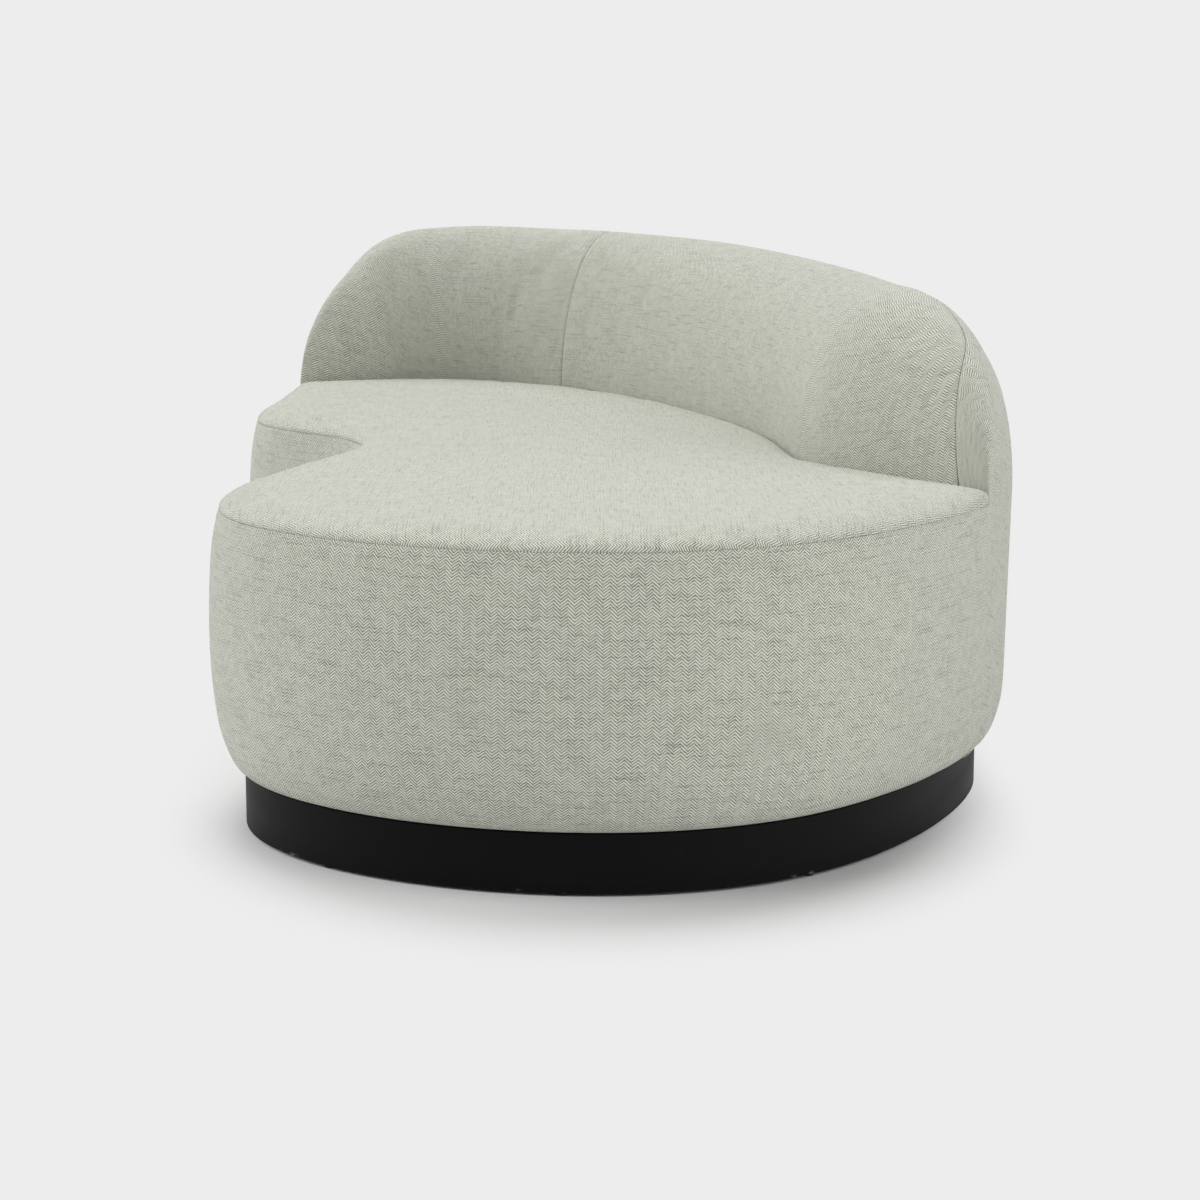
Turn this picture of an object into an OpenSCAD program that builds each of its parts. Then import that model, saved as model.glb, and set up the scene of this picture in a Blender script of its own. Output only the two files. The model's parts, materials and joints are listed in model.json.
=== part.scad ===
// Kidney-shaped corner sofa on a recessed plinth, upholstered in a chunky woven cloth.
// One bean-shaped seat has a bay in its front. A crescent back follows the rear of the outline,
// turns the far corner and ends in two rounded noses that die into the seat's edge.
// X runs along the length with the open end at +X, the front faces -Y, and the floor is z = 0.

/* [Overall] */
// Length over the widest bulge of the upholstery
sofa_l = 2370; // [2100:10:2640]
// Depth over the widest bulge of the upholstery
sofa_w = 1200; // [1080:10:1320]
// Height of the back's ridge at the closed end
sofa_h = 740; // [700:1:800]

/* [Seat] */
// Height of the stitched seam round the seat
seam_z = 435; // [400:1:460]
// How far the border is drawn in at its foot
foot_draw = 39; // [24:1:41]
// How far the border is drawn in at the seam
seam_draw = 12.6; // [6:0.2:20]
// Width of the seat's rolled edge in plan
roll_w = 60; // [40:1:75]
// Rise of the rolled edge above the seam
roll_rise = 15; // [8:1:20]
// Width of the seat's rolled edge along the back
tuck_w = 26; // [18:1:34]
// Further rise of the crown in the middle of the seat
crown_rise = 6; // [2:1:12]

/* [Back] */
// Thickness of the back along its middle
back_t = 264; // [235:1:290]
// Extra thickness of the fuller nose at the open end
nose_swell = 6; // [0:1:30]
// Length over which each nose swells to the full thickness
nose_l = 370; // [300:10:420]
// Length over which the ridge drops at each nose
nose_drop_l = 410; // [300:10:560]
// Height of the back's ridge at the open end
open_ridge_z = 707; // [670:1:740]
// Lean of the back's outer wall between its widest level and its foot
wall_lean = 8; // [0:1:20]
// Extra roll of the outer wall into its foot
wall_roll = 19; // [8:1:26]

/* [Plinth] */
// Height of the plinth, glides included
plinth_h = 80; // [60:1:120]
// Inset of the plinth from the widest bulge
plinth_inset = 42; // [41:1:46]
// Thickness of the bent plywood band
band_t = 18; // [12:1:24]
// Thickness of the glides under the band
glide_t = 3; // [2:0.5:6]
// Width of each glide
glide_d = 15; // [10:1:18]

/* [Frame] */
// Thickness of the plywood rings, rails and ribs
board_t = 18; // [15:1:22]
// Height of the seat frame's top above the floor
frame_z = 310; // [285:1:325]
// Width of the lower ring
base_ring_w = 96; // [80:1:120]
// Width of the upper ring at the front
top_ring_w = 62; // [50:1:90]
// Width of a cross board on the lower ring
cross_w = 90; // [60:1:120]
// Size of the seat posts, across and along the edge
post_size = [40, 60];
// Thickness of the hardboard facings
facing_t = 3; // [2:0.5:5]

/* [Padding and cloth] */
// Thickness of the upholstery cloth with its backing
cloth_t = 2; // [1.5:0.1:3]
// Depth of the border's padding from the widest bulge
pad_depth = 60; // [50:1:61]
// Thickness of the back's inner padding
inner_pad = 45; // [35:1:60]
// Width and thickness of a webbing strap
strap_size = [80, 2.5];
// Pitch of the straps that run front to back
strap_pitch = 112; // [95:1:160]
// Thickness of the felt over the webbing
felt_t = 2; // [1:0.5:4]
// Thickness of the black lining under the frame
lining_t = 1; // [0.5:0.1:1.5]

/* [Fastenings] */
// Shank diameter of the bolts
bolt_d = 8; // [6:1:10]
// Across the flats, and height, of a bolt head
bolt_head = [13, 5.5];
// Flange diameter and flange thickness of a tee nut
tee_flange = [22, 1.5];
// Barrel diameter of a tee nut
tee_barrel_d = 10.5; // [9:0.1:13]

/* [Hidden] */

// Clearance between neighbouring pieces
fit = 0.3;
// Clearance of a bolt in its hole, on the diameter
bolt_play = 1;
// Overrun of cuts
over = 5;

// Outline in plan

// Control points of the outline at its widest, as shares of length and depth. They run from
// the open end along the rear to the closed end, and back along the front with its bay.
outline_share = [[0.228, 0.537], [0.131, 0.471], [-0.017, 0.461], [-0.303, 0.286],
    [-0.466, 0.004], [-0.55, -0.428], [-0.204, -0.506], [-0.075, -0.505], [0.009, -0.21],
    [0.338, -0.551], [0.517, -0.172], [0.499, 0.29]];
// Where the two noses start, as shares of the way round
open_tip_share = 0.977;
closed_tip_share = 0.466;
// Stations along a nose, as shares of its length, and how many follow between the noses
nose_step_share = [0, 0.04, 0.12, 0.22, 0.33, 0.46, 0.6, 0.76, 1];
back_steps = 20;
front_steps = 34;
// Slope with which a nose's thickness and its height set off from the tip
nose_taper = 1.5;
// Length over which the ridge rises from the open end's height, as a share of the back
ridge_share = [0.18, 0.8];
// Distance over which the border's bulge turns into the back's wall
wall_blend_l = 300;

function bspline(c, t) =
    let (n = len(c), i = floor(t), f = t - i)
    (c[(i + n - 1) % n] * pow(1 - f, 3) + c[i % n] * (3 * pow(f, 3) - 6 * pow(f, 2) + 4)
        + c[(i + 1) % n] * (1 + 3 * f + 3 * pow(f, 2) - 3 * pow(f, 3))
        + c[(i + 2) % n] * pow(f, 3)) / 6;
function unit(v) = v / norm(v);
function clamp(x) = min(1, max(0, x));
function smooth(x) = let (c = clamp(x)) c * c * (3 - 2 * c);
// Rises from 0 to 1 with slope m at the start and none at the end
function swell(x, m) = let (c = clamp(x)) m * c + (3 - 2 * m) * c * c + (m - 2) * c * c * c;
function quarter(x) = 1 - sqrt(max(0, 1 - x * x));

// The curve is traced finely once, from the open nose's tip, to measure its length
trace_n = 480;
loop_n = len(outline_share);
trace_t = [for (k = [0:trace_n]) (open_tip_share + k / trace_n) * loop_n];
trace_share = [for (t = trace_t) bspline(outline_share, t % loop_n)];
share_low = [min([for (p = trace_share) p.x]), min([for (p = trace_share) p.y])];
share_high = [max([for (p = trace_share) p.x]), max([for (p = trace_share) p.y])];
function to_size(p) = [
    ((p.x - share_low.x) / (share_high.x - share_low.x) - 1 / 2) * sofa_l,
    ((p.y - share_low.y) / (share_high.y - share_low.y) - 1 / 2) * sofa_w];
trace = [for (p = trace_share) to_size(p)];
trace_len = [for (k = 0, s = 0; k <= trace_n;
    s = s + (k < trace_n ? norm(trace[k + 1] - trace[k]) : 0), k = k + 1) s];
way_to_t = [for (k = [0:trace_n]) [trace_len[k], trace_t[k]]];
t_to_way = [for (k = [0:trace_n]) [trace_t[k], trace_len[k]]];
loop_l = trace_len[trace_n];
back_l = lookup((closed_tip_share + 1) * loop_n, t_to_way);

// Stations round the outline: along the open nose, the back, the closed nose and the front
way = concat(
    [for (q = nose_step_share) q * nose_l],
    [for (k = [1:back_steps - 1]) nose_l + k / back_steps * (back_l - 2 * nose_l)],
    [for (k = [len(nose_step_share) - 1:-1:0]) back_l - nose_step_share[k] * nose_l],
    [for (k = [1:front_steps - 1]) back_l + k / front_steps * (loop_l - back_l)]);
stations = len(way);
last_back = 2 * len(nose_step_share) + back_steps - 2;
function at_way(s) = to_size(bspline(outline_share, lookup(s, way_to_t) % loop_n));
function heading(s) =
    let (d = loop_l / trace_n, a = max(0, s - d), b = min(loop_l, s + d)) unit(at_way(b) - at_way(a));
plan = [for (s = way) at_way(s)];
function square_to(s) = let (h = heading(s)) [h.y, -h.x];
outward = [for (s = way) square_to(s)];
// The sections follow directions averaged over a length, so that deep insets don't cross
// inside the tight far corner
fan_half_l = 340;
fan_step_share = [-1, -2 / 3, -1 / 3, 0, 1 / 3, 2 / 3, 1];
ones = [for (q = fan_step_share) 1];
aim = [for (s = way)
    unit(ones * [for (q = fan_step_share) square_to((s + q * fan_half_l + loop_l) % loop_l)])];
function inset(i, d) = plan[i] - aim[i] * d / (aim[i] * outward[i]);
function raise(p, z) = [p.x, p.y, z];
function on_back(i) = i <= last_back;

// Thickness of the back, its ridge and its share of the wall, by station
function tip_way(i) = min(way[i], back_l - way[i]);
tip_t = 6;
thick = [for (i = [0:stations - 1]) !on_back(i) ? 0 :
    tip_t + (back_t - tip_t + nose_swell * (1 - smooth(way[i] / nose_l - 1)) * smooth(way[i] / nose_l))
        * swell(tip_way(i) / nose_l, nose_taper)];
arch_z = seam_z + cloth_t;
function ridge_full(s) = open_ridge_z + (sofa_h - open_ridge_z)
    * smooth((s / back_l - ridge_share[0]) / (ridge_share[1] - ridge_share[0]));
ridge = [for (i = [0:stations - 1]) !on_back(i) ? arch_z :
    arch_z + tip_t + (ridge_full(way[i]) - arch_z - tip_t)
        * sqrt(max(0, 1 - pow(1 - clamp(tip_way(i) / nose_drop_l), 2)))];
function past_tip(i) = on_back(i) ? tip_way(i) : -min(way[i] - back_l, loop_l - way[i]);
wall_share = [for (i = [0:stations - 1]) smooth(past_tip(i) / wall_blend_l + 1)];

// Profiles from the foot to the seam
foot_z = plinth_h;
belly_share = 0.53;
// Levels of the cloth's wall, as shares of its height
level_share = [0, 0.035, 0.11, 0.25, 0.53, 0.79, 1];
belly_z = foot_z + belly_share * (seam_z - foot_z);
// The border's curve would close in a little above its seam
closing_share = 1.257;
border_top_z = belly_z + (seam_z - belly_z) * closing_share;
seam_quarter = quarter((seam_z - belly_z) / (border_top_z - belly_z));
roll_share = 0.24;
roll_z = foot_z + roll_share * (seam_z - foot_z);
function border_in(z) = z < belly_z ? foot_draw * quarter((belly_z - z) / (belly_z - foot_z))
    : seam_draw / seam_quarter * quarter((z - belly_z) / (border_top_z - belly_z));
function wall_in(z) = wall_lean * max(0, seam_z - z) / (seam_z - foot_z)
    + (z < roll_z ? wall_roll * quarter((roll_z - z) / (roll_z - foot_z)) : 0);
function side_in(i, z) = (1 - wall_share[i]) * border_in(z) + wall_share[i] * wall_in(z);
function level(q) = foot_z + q * (seam_z - foot_z);

// Edges in plan
// Edge of the seat's top cloth: the stitched seam in front, the crevice along the back
cloth_edge = [for (i = [0:stations - 1]) max(side_in(i, seam_z), on_back(i) ? thick[i] + fit : 0)];
edge_roll = [for (q = wall_share) (1 - q) * roll_w + q * tuck_w];
// Rings of the rolled edge, as shares of its width
roll_step_share = [0, 0.07, 0.25, 0.55, 1];
// Inset and height on the outside of the seat's cloth, and on its inside
function roll_top(i, q) = [cloth_edge[i] + edge_roll[i] * q, seam_z + roll_rise * (1 - quarter(1 - q))];
function roll_under(i, q) = [cloth_edge[i] + cloth_t + (edge_roll[i] - cloth_t) * q,
    seam_z + (roll_rise - cloth_t) * (1 - quarter(1 - q))];
function under_z(i, d) = lookup(d, [for (q = roll_step_share) roll_under(i, q)]);

// Stations between which the back has its wooden frame
frame_from = len(nose_step_share) - 1;
frame_to = last_back - frame_from;
function framed(i) = i >= frame_from && i <= frame_to;
cavity_in = pad_depth + cloth_t;

// A line down the middle of the seat, for the crown
spine_share = [[0.27, -0.09], [0.02, 0.03], [-0.29, -0.2]];
spine = [for (p = spine_share) [p.x * sofa_l, p.y * sofa_w]];
spine_y = [for (k = [2:-1:0]) [spine[k].x, spine[k].y]];
function middle(p) =
    let (x = min(spine[0].x, max(spine[2].x, p.x))) [x, lookup(x, spine_y)];
// How far the seat's flat middle reaches from its edge towards that line
middle_share = 0.55;
function inward(p) = p + (middle(p) - p) * middle_share;

// Solids from sections
// How far the diagonal a-c of a quad lies outside the diagonal b-d
function bulge(a, b, c, d) = (b + d - a - c) * cross(c - a, d - b);
// Skin over a row of loops with equal counts. It closes on itself or ends in flat caps, and
// each quad folds along its outer diagonal. From turn_row or turn_col on, and there up to
// turn_end, the skin is the inside of a cloth, where the outer side is the one away from the air.
module loft(loops, ring = false, turn_row = 1 / 0, turn_col = 1 / 0, turn_end = 1 / 0) {
    n = len(loops);
    m = len(loops[0]);
    points = [for (l = loops) each l];
    sides = [for (i = [0:(ring ? n : n - 1) - 1], j = [0:m - 1])
        let (a = i * m + j, b = i * m + (j + 1) % m,
            c = (i + 1) % n * m + (j + 1) % m, d = (i + 1) % n * m + j,
            side = i >= turn_row || (j >= turn_col && j < turn_end) ? -1 : 1)
        each (side * bulge(points[a], points[b], points[c], points[d]) > 0
            ? [[a, b, c], [a, c, d]] : [[a, b, d], [b, c, d]])];
    caps = ring ? [] : [[for (j = [m - 1:-1:0]) j], [for (j = [0:m - 1]) (n - 1) * m + j]];
    polyhedron(points, concat(sides, caps), convexity = 8);
}
// Point of a section: inset from the outline's widest line, and height
function sec(i, d, z) = raise(inset(i, d), z);
function reversed(v) = [for (k = [len(v) - 1:-1:0]) v[k]];
function turned_round(v) = concat([v[0]], [for (k = [len(v) - 1:-1:1]) v[k]]);

// Plan area inside an inset that differs between the front and the back
module area(front, back) {
    polygon([for (i = [0:stations - 1]) inset(i, on_back(i) ? max(front, thick[i] + back) : front)]);
}
module even_area(d) {
    polygon([for (i = [0:stations - 1]) inset(i, d)]);
}
// Crescent between an inset from the outline and one from the back's inner face
module crescent(from, to, outer_d, inner_d) {
    polygon(concat([for (i = [from:to]) inset(i, outer_d)],
        [for (i = [to:-1:from]) inset(i, thick[i] - inner_d)]));
}
// Crescent of even width about the middle of the back's cavity
module mid_crescent(from, to, w) {
    polygon(concat([for (i = [from:to]) inset(i, cavity_mid(i) - w / 2)],
        [for (i = [to:-1:from]) inset(i, cavity_mid(i) + w / 2)]));
}
// Places children on the straight between two stations, at an inset, with +X pointing out
module on_chord(i, d) {
    a = inset(i % stations, d);
    b = inset((i + 1) % stations, d);
    h = unit(b - a);
    translate((a + b) / 2) rotate(atan2(-h.x, h.y)) children();
}
// Places children at the back's outer hollow wall, with +X pointing out
module at_station(i) {
    translate(inset(i, cavity_in)) rotate(atan2(aim[i].y, aim[i].x)) children();
}

// Heights, from the floor up
lip_in = plinth_inset + band_t;
lining_z = foot_z + cloth_t - lining_t;
base_z = foot_z + cloth_t;
post_z = base_z + board_t;
ring_z = frame_z - board_t;
web_z = [frame_z, frame_z + strap_size[1] + fit];
felt_z = web_z[1] + strap_size[1] + fit;
foam_z = felt_z + felt_t + fit;
rib_z = frame_z + board_t;
edge_in = pad_depth + fit + facing_t;

// Hollow of the back
shoulder_share = 0.3;
rail_top_share = 0.67;
low_ridge_z = min(sofa_h, open_ridge_z);
shoulder_z = arch_z + shoulder_share * (low_ridge_z - arch_z);
rail_z = arch_z + rail_top_share * (low_ridge_z - arch_z) - board_t;
rail_w = 80;
function cavity_mid(i) = (cavity_in + thick[i] - inner_pad) / 2;
rib_every = 3;
rib_stations = [for (i = [frame_from + 1:rib_every:frame_to - 1]) i];

// Angles of the back's arch, from the outer wall over the ridge to the inner face. The long
// seam runs along the ridge and turns down across each nose to the seat: inside the open nose,
// and outside the closed one, which the wing's inner cover wraps.
seam_turn_share = [0.119, 0.7];
seam_fall = 5;
seam_rest_deg = 76;
seam_end_deg = [180, 24];
seam_deg = [for (i = [0:last_back])
    let (x = (tip_way(i) / nose_l - seam_turn_share[0]) / (seam_turn_share[1] - seam_turn_share[0]),
        end = seam_end_deg[way[i] < back_l / 2 ? 0 : 1])
    seam_rest_deg + (end - seam_rest_deg) * pow(1 - clamp(x), seam_fall)];
seam_gap_deg = 0.15;
function gap_deg(i) = max(seam_gap_deg, asin(fit / (ridge[i] - arch_z)));
// Steps of the arch up to the ridge, from there to the seam, and on down the inner face. The
// first step past the seam is the ridge's crest.
top_gap_deg = 2;
over_step_share = [0, 0.25, 0.5, 0.76, 1];
turn_step_share = [1 / 3, 2 / 3, 1];
down_step_share = [0.11, 0.33, 0.56, 0.78, 1];
function top_deg(i) = min(seam_rest_deg, seam_deg[i]) - top_gap_deg;
function over_deg(i) = concat([for (q = over_step_share) top_deg(i) * q],
    [for (q = turn_step_share) top_deg(i) + (seam_deg[i] - top_deg(i)) * q]);
function down_deg(i) = [for (q = down_step_share) seam_deg[i] + (180 - seam_deg[i]) * q];
function arch(i, d, a) = sec(i, thick[i] / 2 - (thick[i] / 2 - d) * cos(a),
    arch_z + (ridge[i] - arch_z - d) * sin(a));
inner_from = search(1, [for (i = [0:last_back]) seam_deg[i] < 180 ? 1 : 0])[0];
inner_to = last_back;
// Station of the seam across the inner face, as a share of the way along the back
cross_seam_share = 0.61;
cross_seam = round(cross_seam_share * last_back);
inner_low_z = frame_z + board_t;

// Fastenings
cleat_size = [40, 70, 30];
// Sides of the outline that carry a cleat, a post or a glide
cleat_chords = [9, 13, 18, 22, 25, 38, 43, 46, 50, 54, 59, 64, 68];
post_chords = [8, 11, 15, 20, 24, 27, 37, 40, 45, 48, 52, 57, 62, 66];
bolt_stations = [for (i = rib_stations) if (i + 1 < frame_to) i + 1];

module bolt(l, head_down) {
    mirror([0, 0, head_down ? 0 : 1]) {
        translate([0, 0, -bolt_head[1]]) cylinder(h = bolt_head[1], d = bolt_head[0] / cos(30), $fn = 6);
        cylinder(h = l, d = bolt_d, $fn = 32);
    }
}
// Tee nut with its flange above the board it sits in
module tee_nut(l) {
    difference() {
        union() {
            cylinder(h = tee_flange[1], d = tee_flange[0], $fn = 32);
            translate([0, 0, -l]) cylinder(h = l + tee_flange[1], d = tee_barrel_d, $fn = 32);
        }
        translate([0, 0, -l - over]) cylinder(h = l + 2 * over, d = bolt_d + fit / 2, $fn = 32);
    }
}

// Plinth
glide_chords = [4, 11, 16, 21, 25, 30, 39, 44, 48, 53, 57, 61, 65];
glide_pin = [3, 14];
module at_glides() {
    for (i = glide_chords) on_chord(i, plinth_inset + band_t / 2) children();
}
module glides() {
    color([0.12, 0.12, 0.12]) at_glides() {
        cylinder(h = glide_t, d = glide_d, $fn = 32);
        cylinder(h = glide_t + glide_pin[1], d = glide_pin[0], $fn = 20);
    }
}
module plinth_band() {
    color([0.09, 0.09, 0.09]) difference() {
        translate([0, 0, glide_t]) linear_extrude(foot_z - glide_t) difference() {
            even_area(plinth_inset);
            even_area(plinth_inset + band_t);
        }
        at_glides() translate([0, 0, glide_t - over])
            cylinder(h = glide_pin[1] + over + fit, d = glide_pin[0] + fit, $fn = 20);
    }
}
rib_x_share = [-0.36, -0.19, 0.06, 0.24, 0.4];
module plinth_cross_ribs() {
    color([0.72, 0.58, 0.4]) translate([0, 0, glide_t]) linear_extrude(lining_z - glide_t) intersection() {
        even_area(lip_in + fit);
        for (q = rib_x_share) translate([q * sofa_l - board_t / 2, -sofa_w])
            square([board_t, 2 * sofa_w]);
    }
}
module at_cleats() {
    for (i = cleat_chords) on_chord(i, lip_in + fit) translate([-cleat_size[0] / 2, 0]) children();
}
module plinth_cleats() {
    color([0.78, 0.63, 0.43]) at_cleats() translate([0, 0, lining_z - cleat_size[2]]) difference() {
        translate([-cleat_size[0] / 2, -cleat_size[1] / 2]) cube(cleat_size);
        translate([0, 0, -over]) cylinder(h = cleat_size[2] + 2 * over, d = bolt_d + bolt_play, $fn = 32);
    }
}
module plinth_bolts() {
    color([0.6, 0.6, 0.62]) at_cleats() translate([0, 0, lining_z - cleat_size[2]])
        bolt(cleat_size[2] + lining_t + board_t, true);
}
module plinth_tee_nuts() {
    color([0.7, 0.66, 0.5]) at_cleats() translate([0, 0, post_z]) tee_nut(board_t - 2 * bolt_play);
}
module underside_lining() {
    color([0.16, 0.16, 0.17]) translate([0, 0, lining_z]) linear_extrude(lining_t) difference() {
        even_area(lip_in + fit);
        at_cleats() circle(d = bolt_d + bolt_play, $fn = 32);
    }
}

// Seat frame
module base_ring() {
    color([0.8, 0.66, 0.46]) translate([0, 0, base_z]) difference() {
        linear_extrude(board_t) difference() {
            even_area(edge_in + fit);
            even_area(edge_in + base_ring_w);
        }
        at_cleats() translate([0, 0, -over])
            cylinder(h = board_t + 2 * over, d = tee_barrel_d + bolt_play, $fn = 32);
    }
}
board_x_share = [-0.31, -0.02, 0.32];
module base_cross_boards() {
    color([0.76, 0.6, 0.4]) translate([0, 0, post_z]) linear_extrude(board_t) intersection() {
        even_area(edge_in + post_size[0] + cleat_size[0] / 4);
        for (q = board_x_share) translate([q * sofa_l - cross_w / 2, -sofa_w])
            square([cross_w, 2 * sofa_w]);
    }
}
module seat_posts() {
    color([0.82, 0.7, 0.5]) for (i = post_chords) on_chord(i, edge_in + fit)
        translate([-post_size[0], -post_size[1] / 2, post_z])
            cube([post_size[0], post_size[1], ring_z - post_z]);
}
module border_facing() {
    color([0.55, 0.42, 0.28]) translate([0, 0, base_z]) linear_extrude(frame_z - base_z) difference() {
        even_area(pad_depth + fit);
        even_area(edge_in);
    }
}
module seat_top_ring() {
    color([0.8, 0.66, 0.46]) translate([0, 0, ring_z]) difference() {
        linear_extrude(board_t) difference() {
            even_area(edge_in + fit);
            area(edge_in + top_ring_w, inner_pad);
        }
        at_back_bolts() translate([0, 0, -over])
            cylinder(h = board_t + 2 * over, d = bolt_d + bolt_play, $fn = 32);
    }
}
web_end_share = 0.055;
module webbing_front_to_back() {
    n = floor((1 - 2 * web_end_share) * sofa_l / strap_pitch);
    color([0.85, 0.82, 0.74]) translate([0, 0, web_z[0]]) linear_extrude(strap_size[1]) intersection() {
        area(edge_in + felt_t, 2 * cloth_t + fit);
        for (k = [0:n]) translate([(k - n / 2) * strap_pitch - strap_size[0] / 2, -sofa_w])
            square([strap_size[0], 2 * sofa_w]);
    }
}
long_y_share = [-0.22, -0.1, 0.02];
module webbing_lengthwise() {
    color([0.8, 0.77, 0.68]) translate([0, 0, web_z[1]]) linear_extrude(strap_size[1]) intersection() {
        area(edge_in + felt_t, 2 * cloth_t + fit);
        for (q = long_y_share) translate([-sofa_l, q * sofa_w - strap_size[0] / 2])
            square([2 * sofa_l, strap_size[0]]);
    }
}
module felt_pad() {
    color([0.35, 0.36, 0.38]) translate([0, 0, felt_z]) linear_extrude(felt_t)
        area(edge_in, 2 * cloth_t);
}

// Seat upholstery
function low_in(i) = framed(i) ? thick[i] + 3 * fit : pad_depth + fit;
function up_in(i) = max(pad_depth + 4 * fit, on_back(i) ? thick[i] + 4 * fit + cloth_t : 0);
crown_z = seam_z + roll_rise + crown_rise;
module seat_foam() {
    all = [0:stations - 1];
    loops = [
        [for (i = all) sec(i, low_in(i), foam_z)],
        [for (i = all) sec(i, low_in(i), seam_z)],
        [for (i = all) sec(i, up_in(i) - fit, seam_z)],
        [for (i = all) sec(i, up_in(i), under_z(i, up_in(i)) - fit)],
        [for (i = all) sec(i, roll_under(i, 1).x, roll_under(i, 1).y - fit)],
        [for (i = all) raise(inward(inset(i, roll_under(i, 1).x)), crown_z - cloth_t - fit)]];
    color([0.94, 0.9, 0.72]) loft(reversed(loops));
}
module seat_top_cover() {
    all = [0:stations - 1];
    under = [for (q = roll_step_share) [for (i = all) let (p = roll_under(i, q)) sec(i, p.x, p.y)]];
    top = [for (q = roll_step_share) [for (i = all) let (p = roll_top(i, q)) sec(i, p.x, p.y)]];
    loops = concat(
        [[for (i = all) raise(inward(inset(i, roll_under(i, 1).x)), crown_z - cloth_t)]],
        reversed(under), top,
        [[for (i = all) raise(inward(inset(i, roll_top(i, 1).x)), crown_z)]]);
    color([0.8, 0.81, 0.77]) loft(reversed(loops), turn_row = len(top) + 1);
}
function wall(i, d, shares, z0) = [for (q = shares) let (z = level(q))
    sec(i, side_in(i, z) + d, max(z, z0))];
function border_section(i) = concat([sec(i, lip_in, foot_z)], wall(i, 0, level_share, foot_z),
    reversed(wall(i, cloth_t, level_share, base_z)), [sec(i, lip_in, base_z)]);
module seat_border_cover() {
    color([0.72, 0.73, 0.68])
        loft([for (i = [last_back:stations]) border_section(i % stations)],
            turn_col = len(level_share) + 1);
}
pad_level_share = [0, 0.11, 0.25, 0.53, 0.79, 1];
// The padding's top stays flat under the back and a little past its noses
flat_l = 100;
function flat_top(i) = past_tip(i) > -flat_l;
function pad_top(i, q) = let (a = side_in(i, seam_z) + cloth_t + fit)
    flat_top(i) ? sec(i, a + (pad_depth - a) * q, seam_z)
    : sec(i, roll_under(i, q).x, roll_under(i, q).y - fit);
function pad_section(i) = concat([sec(i, pad_depth, base_z + fit)],
    wall(i, cloth_t + fit, pad_level_share, base_z + fit), [for (q = [0.25, 0.55]) pad_top(i, q)],
    [sec(i, pad_depth, flat_top(i) ? seam_z : under_z(i, pad_depth) - fit)]);
module border_padding() {
    color([0.9, 0.86, 0.68]) loft([for (i = [last_back:stations]) pad_section(i % stations)]);
}
module rear_padding() {
    color([0.87, 0.83, 0.65]) loft([for (i = [0:last_back]) pad_section(i)]);
}

// Frame of the back
module at_back_bolts() {
    for (i = bolt_stations) translate(inset(i, cavity_mid(i))) children();
}
module back_bottom_rail() {
    color([0.8, 0.66, 0.46]) translate([0, 0, frame_z]) difference() {
        linear_extrude(board_t) crescent(frame_from, frame_to, cavity_in + fit, inner_pad + fit);
        at_back_bolts() translate([0, 0, -over])
            cylinder(h = board_t + 2 * over, d = tee_barrel_d + bolt_play, $fn = 32);
    }
}
module rib(i) {
    slope = aim[i] * outward[i];
    a = -facing_t;
    b = (cavity_in - thick[i] + inner_pad) / slope + facing_t;
    m = (cavity_in - cavity_mid(i)) / slope;
    at_station(i) rotate([90, 0, 0]) linear_extrude(board_t, center = true) polygon([
        [a, rib_z], [a, shoulder_z], [m + rail_w / 2, rail_z], [m - rail_w / 2, rail_z],
        [b, shoulder_z], [b, rib_z]]);
}
module back_ribs() {
    gap = facing_t + 2 * fit;
    color([0.84, 0.72, 0.52]) intersection() {
        for (i = rib_stations) rib(i);
        translate([0, 0, rib_z]) linear_extrude(rail_z - rib_z)
            crescent(frame_from, frame_to, cavity_in + gap, inner_pad + gap);
    }
}
module back_top_rail() {
    color([0.78, 0.64, 0.44]) translate([0, 0, rail_z]) linear_extrude(board_t)
        mid_crescent(frame_from, frame_to, rail_w);
}
module back_inner_facing() {
    color([0.55, 0.42, 0.28]) translate([0, 0, rib_z]) linear_extrude(shoulder_z - rib_z)
        polygon(concat([for (i = [frame_from:frame_to]) inset(i, thick[i] - inner_pad - fit)],
            [for (i = [frame_to:-1:frame_from]) inset(i, thick[i] - inner_pad - fit - facing_t)]));
}
module back_outer_facing() {
    color([0.5, 0.38, 0.25]) translate([0, 0, rib_z]) linear_extrude(shoulder_z - rib_z)
        polygon(concat([for (i = [frame_from:frame_to]) inset(i, cavity_in + fit)],
            [for (i = [frame_to:-1:frame_from]) inset(i, cavity_in + fit + facing_t)]));
}
module back_bolts() {
    color([0.6, 0.6, 0.62]) at_back_bolts() translate([0, 0, ring_z]) bolt(2 * board_t, true);
}
module back_tee_nuts() {
    color([0.7, 0.66, 0.5]) at_back_bolts() translate([0, 0, rib_z]) tee_nut(board_t - 2 * bolt_play);
}

// Upholstery of the back
soft = cloth_t + fit;
function arch_row(i, d) = [for (a = concat(over_deg(i), down_deg(i))) arch(i, d, a)];
function nose_section(i) = concat([sec(i, soft, seam_z + fit)], arch_row(i, soft),
    [sec(i, thick[i] - soft, seam_z + fit)]);
// Foam round the wooden frame of the back: a pad up each side and a roll over each half of the
// rail. They are glued up at the shoulders' level and over the rail.
glue_z = shoulder_z + fit;
roll_foot_z = rail_z + board_t + fit;
function slice(v, a, b) = [for (k = [a:b]) v[k]];
function at_level(p, q, z) = p + (q - p) * (z - p.z) / (q.z - p.z);
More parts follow.
